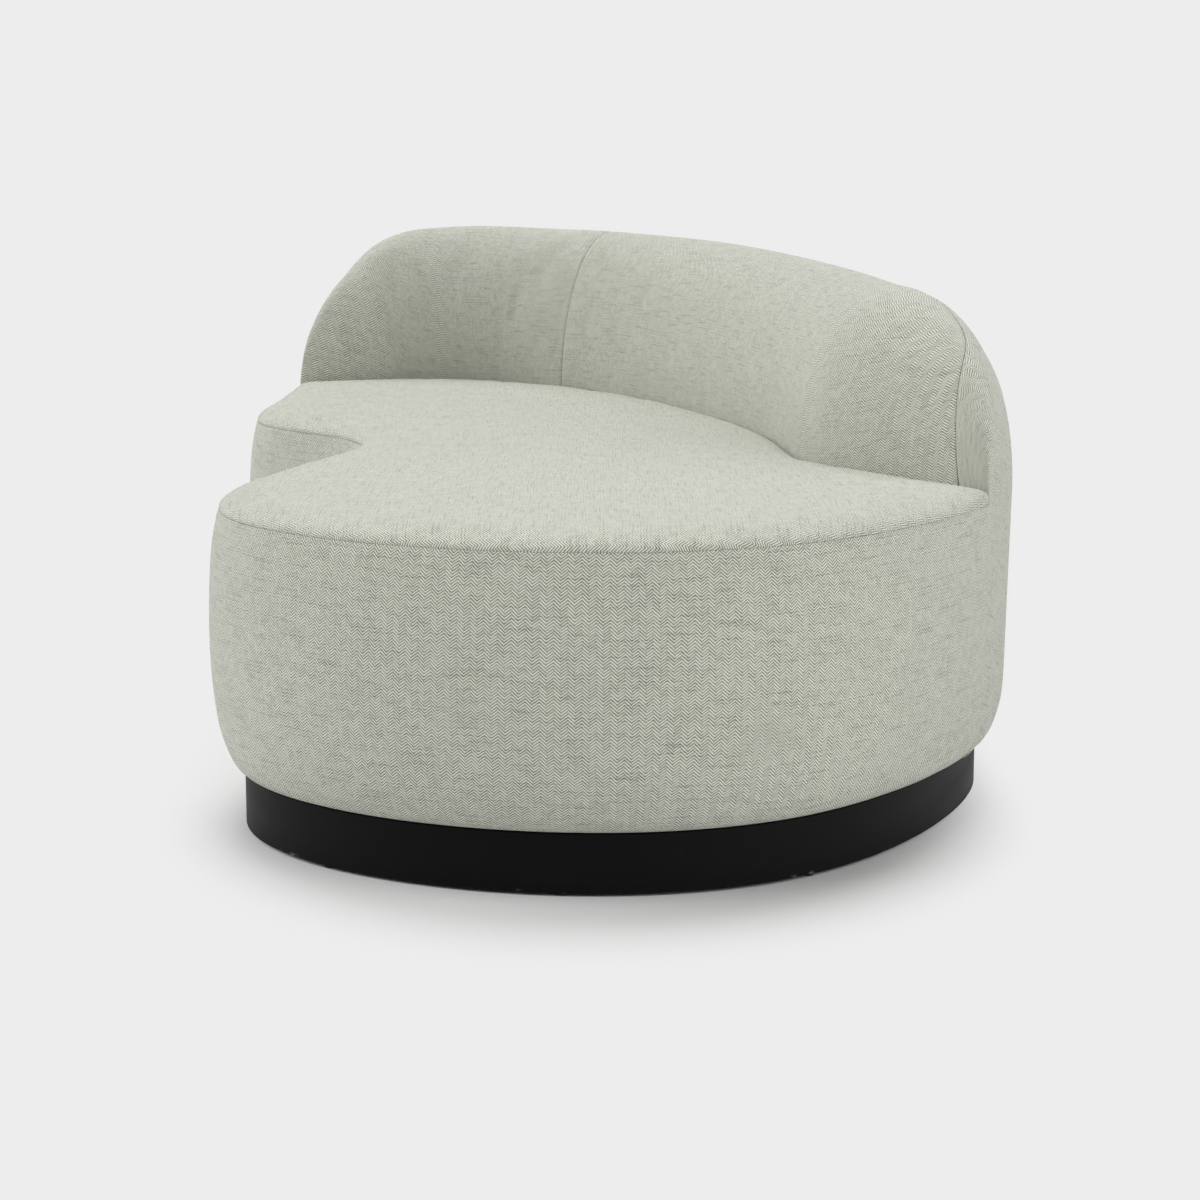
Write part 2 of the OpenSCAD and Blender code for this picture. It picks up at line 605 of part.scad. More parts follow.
// Height of the foam's top near its middle, where the two rolls meet
function crest_z(i, d) = lookup(d, [for (a = down_deg(i))
    [thick[i] / 2 - (thick[i] / 2 - soft) * cos(a), arch_z + (ridge[i] - arch_z - soft) * sin(a)]]) - 3 * fit;
function crest(i, d) = [sec(i, d, crest_z(i, d)), sec(i, d, roll_foot_z)];
function outer_pad_section(i) = let (r = arch_row(i, soft))
    [sec(i, soft, seam_z + fit), r[0], at_level(r[0], r[1], shoulder_z),
        sec(i, cavity_in, shoulder_z), sec(i, cavity_in, seam_z + fit)];
function outer_roll_section(i) = let (r = arch_row(i, soft), m = cavity_mid(i) - fit)
    concat([sec(i, cavity_in, glue_z), at_level(r[0], r[1], glue_z)],
        slice(r, 1, len(over_deg(i))), crest(i, m), [sec(i, m - rail_w / 2, roll_foot_z)]);
function inner_roll_section(i) = let (r = arch_row(i, soft), m = cavity_mid(i) + fit, n = len(r) - 1)
    concat(reversed(crest(i, m)), slice(r, len(over_deg(i)) + 1, n - 1),
        [at_level(r[n], r[n - 1], glue_z), sec(i, thick[i] - inner_pad, glue_z),
            sec(i, m + rail_w / 2, roll_foot_z)]);
function inner_pad_section(i) = let (r = arch_row(i, soft), t = thick[i] - inner_pad, n = len(r) - 1)
    [sec(i, t, frame_z + fit), sec(i, t, shoulder_z), at_level(r[n], r[n - 1], shoulder_z), r[n],
        sec(i, thick[i] - soft, frame_z + fit)];
nose_first = 1;
module back_outer_pad() {
    color([0.9, 0.86, 0.68]) loft([for (i = [frame_from:frame_to]) outer_pad_section(i)]);
}
module back_outer_roll() {
    color([0.94, 0.9, 0.72]) loft([for (i = [frame_from:frame_to]) outer_roll_section(i)]);
}
module back_inner_roll() {
    color([0.92, 0.88, 0.7]) loft([for (i = [frame_from:frame_to]) inner_roll_section(i)]);
}
module back_inner_pad() {
    color([0.88, 0.84, 0.66]) loft([for (i = [frame_from:frame_to]) inner_pad_section(i)]);
}
module open_nose_foam() {
    color([0.93, 0.89, 0.7]) loft([for (i = [nose_first:frame_from]) nose_section(i)]);
}
module closed_nose_foam() {
    color([0.93, 0.89, 0.7]) loft([for (i = [frame_to:last_back - nose_first]) nose_section(i)]);
}
function inner_low(i) = i > frame_from && i < frame_to ? inner_low_z : seam_z + 3 * fit;
function inner_section(i) =
    let (a = concat([seam_deg[i] + gap_deg(i)], down_deg(i)))
    concat([for (q = a) arch(i, 0, q)], [sec(i, thick[i], inner_low(i)),
        sec(i, thick[i] - cloth_t, inner_low(i))], reversed([for (q = a) arch(i, cloth_t, q)]));
module back_inner_cover() {
    color([0.7, 0.71, 0.66])
        loft([for (i = [cross_seam:-1:inner_from]) turned_round(inner_section(i))],
            turn_col = 0, turn_end = len(down_step_share) + 2);
}
module wing_inner_cover() {
    color([0.67, 0.68, 0.63]) loft([for (i = [cross_seam:inner_to]) inner_section(i)],
        turn_col = len(down_step_share) + 2);
}
wall_level_share = [0, 0.035, 0.11, 0.25, 0.53, 0.79];
function outer_section(i) = concat([sec(i, lip_in, foot_z)], wall(i, 0, wall_level_share, foot_z),
    [for (a = over_deg(i)) arch(i, 0, a)], reversed([for (a = over_deg(i)) arch(i, cloth_t, a)]),
    reversed(wall(i, cloth_t, wall_level_share, base_z)), [sec(i, lip_in, base_z)]);
module back_outer_cover() {
    color([0.74, 0.75, 0.7]) loft([for (i = [0:last_back]) outer_section(i)],
        turn_col = len(wall_level_share) + len(over_deg(0)) + 1);
}

glides();
plinth_band();
plinth_cross_ribs();
plinth_cleats();
plinth_bolts();
plinth_tee_nuts();
underside_lining();
base_ring();
base_cross_boards();
seat_posts();
border_facing();
seat_top_ring();
webbing_front_to_back();
webbing_lengthwise();
felt_pad();
seat_foam();
border_padding();
rear_padding();
seat_top_cover();
seat_border_cover();
back_bottom_rail();
back_ribs();
back_top_rail();
back_inner_facing();
back_outer_facing();
back_bolts();
back_tee_nuts();
back_outer_pad();
back_outer_roll();
back_inner_roll();
back_inner_pad();
open_nose_foam();
closed_nose_foam();
back_inner_cover();
wing_inner_cover();
back_outer_cover();
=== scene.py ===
import json
import math

import bmesh
import bpy
import numpy as np
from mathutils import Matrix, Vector


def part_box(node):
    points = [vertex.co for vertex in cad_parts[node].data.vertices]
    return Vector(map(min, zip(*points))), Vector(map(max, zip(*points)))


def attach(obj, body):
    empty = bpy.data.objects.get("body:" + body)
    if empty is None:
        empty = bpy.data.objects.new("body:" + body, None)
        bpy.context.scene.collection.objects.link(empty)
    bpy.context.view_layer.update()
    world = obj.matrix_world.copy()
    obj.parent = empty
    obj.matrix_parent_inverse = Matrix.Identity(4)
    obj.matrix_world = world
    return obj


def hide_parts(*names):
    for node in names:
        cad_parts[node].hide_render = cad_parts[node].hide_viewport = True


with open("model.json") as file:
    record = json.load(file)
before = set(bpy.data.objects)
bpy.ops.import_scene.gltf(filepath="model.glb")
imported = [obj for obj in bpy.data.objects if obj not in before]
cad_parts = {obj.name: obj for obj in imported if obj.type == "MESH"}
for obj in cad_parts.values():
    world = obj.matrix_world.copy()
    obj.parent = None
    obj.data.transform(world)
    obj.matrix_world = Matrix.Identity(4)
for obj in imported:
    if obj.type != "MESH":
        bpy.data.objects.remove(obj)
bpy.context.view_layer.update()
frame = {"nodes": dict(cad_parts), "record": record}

bl_info = {
    "name": "Kidney-shaped corner sofa",
    "version": (1, 0, 0),
    "blender": (4, 5, 0),
    "location": "View3D > Sidebar > Sofa",
    "description": "Covers and finishes of a curved corner sofa on a recessed plinth",
    "category": "Add Mesh",
}

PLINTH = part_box("plinth_band")
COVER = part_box("back_outer_cover")

# Control points of the outline, as shares of the length and the depth
OUTLINE = np.array([[0.228, 0.537], [0.131, 0.471], [-0.017, 0.461], [-0.303, 0.286],
    [-0.466, 0.004], [-0.55, -0.428], [-0.204, -0.506], [-0.075, -0.505], [0.009, -0.21],
    [0.338, -0.551], [0.517, -0.172], [0.499, 0.29]])
# Where the two noses start, as shares of the way round
OPEN_TIP, CLOSED_TIP = 0.977, 0.466
# A line down the middle of the seat, as shares of the length and the depth
SPINE = np.array([[0.27, -0.09], [0.02, 0.03], [-0.29, -0.2]])
SPINE_CELLS = 30

# All lengths that follow are in metres
# Steps of the outline's fine trace, and the half step over which its heading is read
TRACE_STEPS, HEADING = 1920, 0.014
# The sections' directions are averaged this far to both sides, over so many places
FAN, FAN_PLACES = 0.34, 7
# Clearance between neighbouring pieces
FIT = 0.0003
# Height of the back's arch above the seam, and distance over which the border's bulge fades
ARCH_LIFT, WALL_BLEND = 0.002, 0.3
# Thickness of the back at its tips, slope at which it swells from there, and what the fuller
# open nose adds
TIP, TAPER, FULLER = 0.006, 1.5, 0.006
# Start and run of the ridge's rise and of the crest's rise and fall, as shares of the back
RIDGE_RISE, CREST_RISE, CREST_FALL = (0.18, 0.62), (0.15, 0.4), (0.78, 0.14)
# Start and run of the long seam's turn, as shares of a nose, and how sharply it falls
SEAM_TURN, SEAM_FALL = (0.119, 0.581), 5
# Angles of the long seam along the ridge, at the open tip and at the closed tip, in degrees
SEAM_REST, SEAM_OPEN, SEAM_CLOSED = 76, 180, 24
# Level of the belly, end of its upper curve and top of the wall's lower roll, as shares
BELLY, CLOSING, FOOT_ROLL = 0.53, 1.257, 0.24
# Lean of the back's wall and its further roll into the foot
WALL_LEAN, WALL_ROLL = 0.008, 0.019
# Height of the curved stretch at the foot of the border and of the back's wall
BORDER_TURN, BACK_TURN = 0.188, 0.085
# Stretch of the back whose inner foot is eased, as distances from the closed tip
CORNER = (0.8, 0.15)
# The inner covers end this far above the seam at the noses and reach so far down between them,
# from a start and over a run past each nose
INNER_REST, INNER_DEPTH, INNER_RUN = 0.0009, 0.05, (0.01, 0.06)
# Share of its width that the seat's roll keeps at a tip, and distance over which it widens
TIP_ROLL, TIP_FADE = 0.3, 0.09
# Share of the way to the seat's middle over which the crown rises
CROWN_RUN = 0.62
# The smallest distance from a tip at which the seat's cloth goes into the crevice, without a seam
CREVICE = 0.02
# Distance from the open tip at which the inner cover starts, as a share of the nose
INNER_START = 0.122
# Place of the seam across the inner face, as a share of the back between the noses
CROSS_SEAM = 0.7

# Places along a section: round its foot, up its wall, under the frame, round the back's arch, down
# behind the seat, round the seat's roll and on to the seat's middle
FOOT_PLACES, WALL_PLACES, LIP_PLACES, ARCH_PLACES = 40, 60, 8, 120
BEHIND_PLACES, ROLL_PLACES, MIDDLE_PLACES = 9, 40, 60
# Distances of the rows next to a seam from that seam
CLOSE = (0, 0.0012, 0.003, 0.006, 0.011, 0.018)
# Distances of the columns next to a tip, on the back and on the seat
BACK_NEAR = np.concatenate([CLOSE, np.arange(0.026, 0.25, 0.009)])
SEAT_NEAR = np.concatenate([CLOSE, np.arange(0.031, 0.26, 0.0135)])
# Distances of the rows next to the cloth's foot, and next to the seat's middle
FOOT_CLOSE, MIDDLE_CLOSE = (0, 0.008), (0, 0.02)
# Widths of the rows between, and of the border's columns
SEAT_ROW, BORDER_ROW, BACK_ROW, BORDER_COLUMN = 0.026, 0.02, 0.022, 0.022
# Distances added where a seam is faint, and where two covers join without stitches
FAINT, PLAIN_JOIN = 0.0007, 0.004
# Reach of the dip beside a stitched seam
DIP_REACH = 0.0035
# Start and run of the cloth's freedom, from a seam, from the foot and from the seat
OFF_SEAM, OFF_FOOT, OFF_SEAT = (0.008, 0.05), (0.01, 0.05), (0.03, 0.06)
# Start and run of the seat's freedom from its edge, and of its end towards the middle
SEAT_FREE, SEAT_HELD = (0.01, 0.04), (0.16, 0.08)
# The most that the cloth may move, and the last frame of its simulation
CLOTH_MOVE, CLOTH_FRAMES = 0.003, 20
# Places on the bolt of cloth that the back's covers are cut from, along the cloth
OUTSIDE_BOLT, INSIDE_BOLT = 11, 23
# Slope of the weave's rows at a tip, and distance over which they level out
OUTSIDE_SLOPE, INSIDE_SLOPE, SLANT_REACH = 0.36, 0.5, 0.42

# Lamps, each with its name, the way it comes from, its strength and its width in degrees
LAMPS = (("left", (0, -0.83, 0.55), 2.0, 60),
         ("right", (0.45, 0.8, 0.4), 1.75, 60),
         ("above", (-0.45, 0, 0.9), 1.4, 36))
WORLD_LIGHT = 0.2
CAMERA_PLACE = (4.484, 0.011, 0.947)
CAMERA_LENS, CAMERA_FALL = 83.7, 9.752
# The floor lies just under the glides. It fades into the backdrop between two distances from a
# line along the sofa, whose half length is given first, and across the sofa they count for more
FLOOR_DROP, FLOOR_SHADE = 0.0005, (0.745, 0.745, 0.745, 1)
FADE_HALF, FADE_ACROSS, FADE = 0.62, 1.4, (0.6, 0.88)


class SofaSizes(bpy.types.PropertyGroup):
    length: bpy.props.FloatProperty(name="Length", unit="LENGTH", default=2.37,
        description="Length over the widest bulge")
    depth: bpy.props.FloatProperty(name="Depth", unit="LENGTH", default=1.2,
        description="Depth over the widest bulge")
    height: bpy.props.FloatProperty(name="Height", unit="LENGTH", default=COVER[1].z,
        description="Height of the back's ridge at the closed end")
    open_ridge: bpy.props.FloatProperty(name="Open ridge", unit="LENGTH", default=0.707,
        description="Height of the back's ridge at the open end")
    crest: bpy.props.FloatProperty(name="Crest", unit="LENGTH", default=0.013,
        description="How far the padding lifts the ridge along the back's middle")
    seam: bpy.props.FloatProperty(name="Seat seam", unit="LENGTH", default=0.435,
        description="Height of the stitched seam round the seat")
    foot: bpy.props.FloatProperty(name="Foot", unit="LENGTH", default=COVER[0].z,
        description="Height of the cloth's foot above the floor")
    foot_draw: bpy.props.FloatProperty(name="Foot draw", unit="LENGTH", default=0.039,
        description="How far the border is drawn in at its foot")
    seam_draw: bpy.props.FloatProperty(name="Seam draw", unit="LENGTH", default=0.0126,
        description="How far the border is drawn in at the seam")
    plinth_inset: bpy.props.FloatProperty(name="Plinth inset", unit="LENGTH", default=0.042,
        description="Inset of the plinth from the widest bulge")
    lip: bpy.props.FloatProperty(name="Lip", unit="LENGTH", default=0.06,
        description="How far the cloth turns in under the frame, from the widest bulge")
    roll: bpy.props.FloatProperty(name="Seat roll", unit="LENGTH", default=0.06,
        description="Width of the seat's rolled edge")
    tuck: bpy.props.FloatProperty(name="Seat tuck", unit="LENGTH", default=0.026,
        description="Width of the seat's rolled edge along the back")
    roll_rise: bpy.props.FloatProperty(name="Roll rise", unit="LENGTH", default=0.021,
        description="Rise of the rolled edge above the seam")
    crown: bpy.props.FloatProperty(name="Crown", unit="LENGTH", default=0.002,
        description="Further rise of the seat's middle")
    back: bpy.props.FloatProperty(name="Back thickness", unit="LENGTH", default=0.264,
        description="Thickness of the back along its middle")
    nose: bpy.props.FloatProperty(name="Nose length", unit="LENGTH", default=0.37,
        description="Length over which each nose swells to the full thickness")
    nose_drop: bpy.props.FloatProperty(name="Nose drop", unit="LENGTH", default=0.41,
        description="Length over which the ridge drops at each nose")
    cloth: bpy.props.FloatProperty(name="Cloth", unit="LENGTH", default=0.0015,
        description="Thickness of the cloth with its backing")
    seam_depth: bpy.props.FloatProperty(name="Seam depth", unit="LENGTH", default=0.0014,
        description="How deep a stitched seam draws the cloth in")


class SofaFinish(bpy.types.PropertyGroup):
    light_yarn: bpy.props.FloatVectorProperty(name="Light yarn", subtype="COLOR", size=4,
        default=(0.71, 0.72, 0.63, 1), description="Colour of the cloth's raised yarn")
    dark_yarn: bpy.props.FloatVectorProperty(name="Dark yarn", subtype="COLOR", size=4,
        default=(0.135, 0.14, 0.108, 1), description="Colour of the yarn in the valleys")
    leg: bpy.props.FloatProperty(name="Herringbone leg", unit="LENGTH", default=0.0086,
        description="Width of one leg of the herringbone")
    pitch: bpy.props.FloatProperty(name="Thread pitch", unit="LENGTH", default=0.0043,
        description="Pitch of the slanting threads")
    plinth: bpy.props.FloatVectorProperty(name="Plinth", subtype="COLOR", size=4,
        default=(0.003, 0.003, 0.0031, 1), description="Colour of the plinth's paint")
    backdrop: bpy.props.FloatVectorProperty(name="Backdrop", subtype="COLOR", size=4,
        default=(0.847, 0.847, 0.847, 1), description="Colour that the floor fades into")


def clamp(x):
    return np.clip(x, 0, 1)


def smooth(x):
    """From 0 to 1 with no slope at either end."""
    return clamp(x) ** 2 * (3 - 2 * clamp(x))


def rise(x, start, run):
    """From 0 to 1 over a run past a start."""
    return smooth((x - start) / run)


def swell(x, slope):
    """From 0 to 1 with the given slope at the start and none at the end."""
    c = clamp(x)
    return slope * c + (3 - 2 * slope) * c ** 2 + (slope - 2) * c ** 3


def quarter(x):
    """From 0 to 1 along a quarter of a circle, flat at the start."""
    return 1 - np.sqrt(np.maximum(0, 1 - x * x))


def spline(t):
    """Points of the closed cubic B-spline, which passes one control point per unit of t."""
    i = np.floor(t).astype(int)
    f = (t - i)[..., None]
    a, b, c, d = (OUTLINE[(i + k) % len(OUTLINE)] for k in (-1, 0, 1, 2))
    return (a * (1 - f) ** 3 + b * (3 * f ** 3 - 6 * f ** 2 + 4)
            + c * (1 + 3 * f + 3 * f ** 2 - 3 * f ** 3) + d * f ** 3) / 6


class Form:
    """The sofa's surfaces, by the way round its outline from the open nose's tip."""

    def __init__(self, size):
        self.size = size
        self.t = (OPEN_TIP + np.linspace(0, 1, TRACE_STEPS + 1)) * len(OUTLINE)
        share = spline(self.t)
        self.low, self.high = share.min(0), share.max(0)
        steps = np.linalg.norm(np.diff(self.sized(share), axis=0), axis=1)
        self.way = np.concatenate([[0], np.cumsum(steps)])
        self.loop = self.way[-1]
        self.back = float(np.interp((CLOSED_TIP + 1) * len(OUTLINE), self.t, self.way))
        self.arch_z = size.seam + ARCH_LIFT
        self.corner, self.shift = np.zeros(1), np.zeros((1, 2))
        self.corner, self.shift = self.ease_corner()

    def sized(self, share):
        size = (self.size.length, self.size.depth)
        return ((share - self.low) / (self.high - self.low) - 0.5) * size

    def point(self, s):
        return self.sized(spline(np.interp(s % self.loop, self.way, self.t)))

    def outward(self, s):
        d = self.point(s + HEADING) - self.point(s - HEADING)
        d /= np.linalg.norm(d, axis=-1, keepdims=True)
        return np.stack([d[..., 1], -d[..., 0]], -1)

    def aim(self, s):
        a = sum(self.outward(s + q * FAN) for q in np.linspace(-1, 1, FAN_PLACES))
        return a / np.linalg.norm(a, axis=-1, keepdims=True)

    def place(self, s, d, z):
        """Points at the insets d and heights z on the sections at the ways s."""
        aim = self.aim(s)
        run = d / (aim * self.outward(s)).sum(-1)[:, None]
        flat = self.point(s)[:, None] - aim[:, None] * run[..., None]
        ease = np.stack([np.interp(s, self.corner, self.shift[:, k]) for k in (0, 1)], -1)
        flat += ease[:, None] * smooth(d / self.thick(s)[:, None])[..., None]
        return np.concatenate([flat, np.broadcast_to(z, d.shape)[..., None]], -1)

    def ease_corner(self):
        """Shift of the back's inner foot into one sweep where it turns the closed corner."""
        s = np.linspace(self.back - CORNER[0], self.back - CORNER[1], 90)
        foot = self.place(s, self.thick(s)[:, None], np.zeros((len(s), 1)))[:, 0, :2]
        chord = np.linalg.norm(foot[-1] - foot[0])
        start, end = (chord * v / np.linalg.norm(v)
                      for v in (foot[1] - foot[0], foot[-1] - foot[-2]))
        u = ((s - s[0]) / (s[-1] - s[0]))[:, None]
        sweep = (foot[0] * (1 + 2 * u) * (1 - u) ** 2 + start * u * (1 - u) ** 2
                 + foot[-1] * u * u * (3 - 2 * u) + end * u * u * (u - 1))
        return s, sweep - foot

    def past_tip(self, s):
        """Distance from the nearer tip, positive on the back and negative in front."""
        return np.where(s <= self.back, np.minimum(s, self.back - s),
                        -np.minimum(s - self.back, self.loop - s))

    def wall_share(self, s):
        """1 where the wall is the back's own, 0 where it is the bellied border."""
        return smooth(self.past_tip(s) / WALL_BLEND + 1)

    def thick(self, s):
        k, tip = self.size, np.maximum(0, self.past_tip(s))
        fuller = FULLER * (1 - smooth(s / k.nose - 1)) * smooth(s / k.nose)
        return TIP + (k.back - TIP + fuller) * swell(tip / k.nose, TAPER)

    def ridge(self, s):
        k, tip, share = self.size, np.maximum(0, self.past_tip(s)), s / self.back
        full = k.open_ridge + (k.height - k.open_ridge) * rise(share, *RIDGE_RISE)
        full = full + k.crest * rise(share, *CREST_RISE) * (1 - rise(share, *CREST_FALL))
        drop = np.sqrt(np.maximum(0, 1 - (1 - clamp(tip / k.nose_drop)) ** 2))
        return self.arch_z + TIP + (full - self.arch_z - TIP) * drop

    def seam_angle(self, s):
        """The long seam turns down inside the open nose and outside the closed one."""
        start, run = SEAM_TURN
        share = (np.maximum(0, self.past_tip(s)) / self.size.nose - start) / run
        end = np.where(s < self.back / 2, SEAM_OPEN, SEAM_CLOSED)
        return np.radians(SEAM_REST + (end - SEAM_REST) * (1 - clamp(share)) ** SEAM_FALL)

    def side_in(self, s, z):
        """How far the wall lies in from the widest line, at the heights z."""
        k = self.size
        belly = k.foot + BELLY * (k.seam - k.foot)
        top = belly + (k.seam - belly) * CLOSING
        upper = k.seam_draw / quarter((k.seam - belly) / (top - belly))
        border = np.where(z < belly,
                          k.foot_draw * quarter(np.minimum(1, (belly - z) / (belly - k.foot))),
                          upper * quarter((z - belly) / (top - belly)))
        roll = k.foot + FOOT_ROLL * (k.seam - k.foot)
        lean = WALL_LEAN * np.maximum(0, k.seam - z) / (k.seam - k.foot)
        wall = lean + np.where(
            z < roll, WALL_ROLL * quarter(np.minimum(1, (roll - z) / (roll - k.foot))), 0)
        w = self.wall_share(s)[:, None]
        return (1 - w) * border + w * wall

    def wall(self, s, turned):
        """Insets and heights from under the frame up to the seam. The lowest rows, over the
        height turned, stand at even angles round the curve there."""
        k = self.size
        phi = np.radians(np.linspace(90, 0, FOOT_PLACES))
        z = np.concatenate([k.foot + turned * (1 - np.sin(phi)),
                            np.linspace(k.foot + turned, k.seam, WALL_PLACES)[1:]])
        z = np.broadcast_to(z, (len(s), len(z)))
        d = self.side_in(s, z)
        under = d[:, :1] + (k.lip - d[:, :1]) * np.linspace(1, 0, LIP_PLACES)[None, :-1]
        return (np.concatenate([under, d], 1),
                np.concatenate([np.full(under.shape, k.foot), z], 1))

    def arch(self, s, angle):
        """Insets and heights at angles from the outer wall over the ridge to the inner face."""
        half = self.thick(s)[:, None] / 2
        return (half - half * np.cos(angle),
                self.arch_z + (self.ridge(s)[:, None] - self.arch_z) * np.sin(angle))

    def border(self, s):
        return self.place(s, *self.wall(s, BORDER_TURN))

    def back_outside(self, s):
        d, z = self.wall(s, BACK_TURN)
        da, za = self.arch(s, self.seam_angle(s)[:, None] * np.linspace(0, 1, ARCH_PLACES))
        return self.place(s, np.concatenate([d, da], 1), np.concatenate([z, za], 1))

    def back_inside(self, s):
        start = self.seam_angle(s)[:, None]
        d, z = self.arch(s, start + (math.pi - start) * np.linspace(0, 1, ARCH_PLACES))
        past_nose = self.past_tip(s) - self.size.nose
        low = self.size.seam + INNER_REST - INNER_DEPTH * rise(past_nose, *INNER_RUN)
        down = np.linspace(0, 1, BEHIND_PLACES)[None, 1:]
        zd = self.arch_z + (low[:, None] - self.arch_z) * down
        return self.place(s, np.concatenate([d, np.broadcast_to(d[:, -1:], zd.shape)], 1),
                          np.concatenate([z, zd], 1))

    def seat(self, s):
        """From the seam or the crevice over the rolled edge to the seat's middle."""
        k = self.size
        on_back = (s <= self.back) | (s >= self.loop)
        w = self.wall_share(s)
        seam_in = self.side_in(s, np.full((len(s), 1), k.seam))[:, 0]
        edge = np.maximum(seam_in, np.where(on_back, self.thick(s) + FIT, 0))
        kept = TIP_ROLL + (1 - TIP_ROLL) * smooth(abs(self.past_tip(s)) / TIP_FADE)
        width = ((1 - w) * k.roll + w * k.tuck) * kept
        a = np.linspace(0, math.pi / 2, ROLL_PLACES)
        d = edge[:, None] + width[:, None] * (1 - np.cos(a))
        rolled = self.place(s, d, k.seam + k.roll_rise * np.sin(a))
        p = rolled[:, -1, :2]
        spine = (SPINE * (k.length, k.depth))[::-1]
        # The rows from both sides end in shared points, so that they close along the middle
        low, high = spine[0, 0], spine[-1, 0]
        cell = (high - low) / SPINE_CELLS
        x = low + np.round((np.clip(p[:, 0], low, high) - low) / cell) * cell
        middle = np.stack([x, np.interp(x, spine[:, 0], spine[:, 1])], -1)
        q = np.linspace(0, 1, MIDDLE_PLACES)[1:]
        flat = p[:, None] + (middle - p)[:, None] * q[None, :, None]
        z = k.seam + k.roll_rise + k.crown * smooth(q / CROWN_RUN)
        top = np.concatenate([flat, np.broadcast_to(z, flat.shape[:2])[..., None]], -1)
        return np.concatenate([rolled, top], 1)


def border_ways(first, last):
    """Ways along the border, close together at both ends."""
    n = max(1, math.ceil((last - first - 2 * CLOSE[-1]) / BORDER_COLUMN))
    middle = np.linspace(first + CLOSE[-1], last - CLOSE[-1], n + 1)[1:-1]
    return np.concatenate([first + np.array(CLOSE), middle, last - np.array(CLOSE[::-1])])


def back_ways(form, first, last):
    """Ways along the back, close together at its noses, where the long seam turns down."""
    reach, margin = 0.265, 1.2 * CLOSE[-1]
    ways = np.concatenate([BACK_NEAR, np.linspace(reach, form.back - reach, 105),
                           form.back - BACK_NEAR[::-1]])
    inner = ways[(ways > first + margin) & (ways < last - margin)]
    return np.concatenate([first + np.array(CLOSE), inner, last - np.array(CLOSE[::-1])])


def seat_ways(form):
    """Ways round the whole seat, close together at both sides of each tip."""
    near, far, reach = SEAT_NEAR, SEAT_NEAR[::-1], 0.26
    return np.concatenate([near, np.linspace(reach, form.back - reach, 64), form.back - far,
                           form.back + near[1:],
                           np.linspace(form.back + reach, form.loop - reach, 86), form.loop - far])


def even_rows(profile, step, start=CLOSE, end=CLOSE):
    """Points along each column's profile at chosen arc lengths, with those lengths."""
    arc = np.concatenate([np.zeros((len(profile), 1)),
                          np.cumsum(np.linalg.norm(np.diff(profile, axis=1), axis=2), axis=1)], 1)
    total = arc[:, -1]
    n = max(2, math.ceil((total.max() - start[-1] - end[-1]) / step))
    points, lengths = [], []
    for column, a, t in zip(profile, arc, total):
        # On a short column the rows at its ends move closer together
        k = min(1, t / (1.6 * (start[-1] + end[-1]) + 1e-9))
        first, last = np.array(start) * k, t - np.array(end[::-1]) * k
        at = np.concatenate([first, np.linspace(first[-1], last[0], n + 1)[1:-1], last])
        points.append(np.stack([np.interp(at, a, column[:, c]) for c in range(3)], -1))
        lengths.append(at)
    return np.array(points), np.array(lengths)


def cover(name, points, uv, seam, closed=False):
    """A piece from a grid whose columns and rows take the given places."""
    columns, rows = points.shape[:2]
    bm = bmesh.new()
    bmesh.ops.create_grid(bm, x_segments=columns - 1, y_segments=rows - 1, size=0.5)
    distance = bm.verts.layers.float.new("seam")
    layer = bm.loops.layers.uv.new("UVMap")
    at = {}
    for v in bm.verts:
        at[v] = (round((v.co.x + 0.5) * (columns - 1)), round((v.co.y + 0.5) * (rows - 1)))
    for v, (i, j) in at.items():
        v.co = points[i, j]
        v[distance] = seam[i, j]
    for face in bm.faces:
        face.smooth = True
        for loop in face.loops:
            loop[layer].uv = uv[at[loop.vert]]
    if closed:
        bmesh.ops.remove_doubles(bm, verts=bm.verts, dist=1e-4)
    mesh = bpy.data.meshes.new(name)
    bm.to_mesh(mesh)
    bm.free()
    ob = bpy.data.objects.new(name, mesh)
    bpy.context.scene.collection.objects.link(ob)
    return ob


def coordinates(mesh):
    co = np.zeros(len(mesh.vertices) * 3)
    mesh.vertices.foreach_get("co", co)
    return co.reshape(-1, 3)


def attribute(mesh, name):
    values = np.zeros(len(mesh.vertices))
    mesh.attributes[name].data.foreach_get("value", values)
    return values


def freedom(ob, level, start, run):
    """How freely the cloth may move: not at all at a seam or below a start above the level."""
    height = coordinates(ob.data)[:, 2]
    return rise(attribute(ob.data, "seam"), *OFF_SEAM) * smooth((height - level - start) / run)


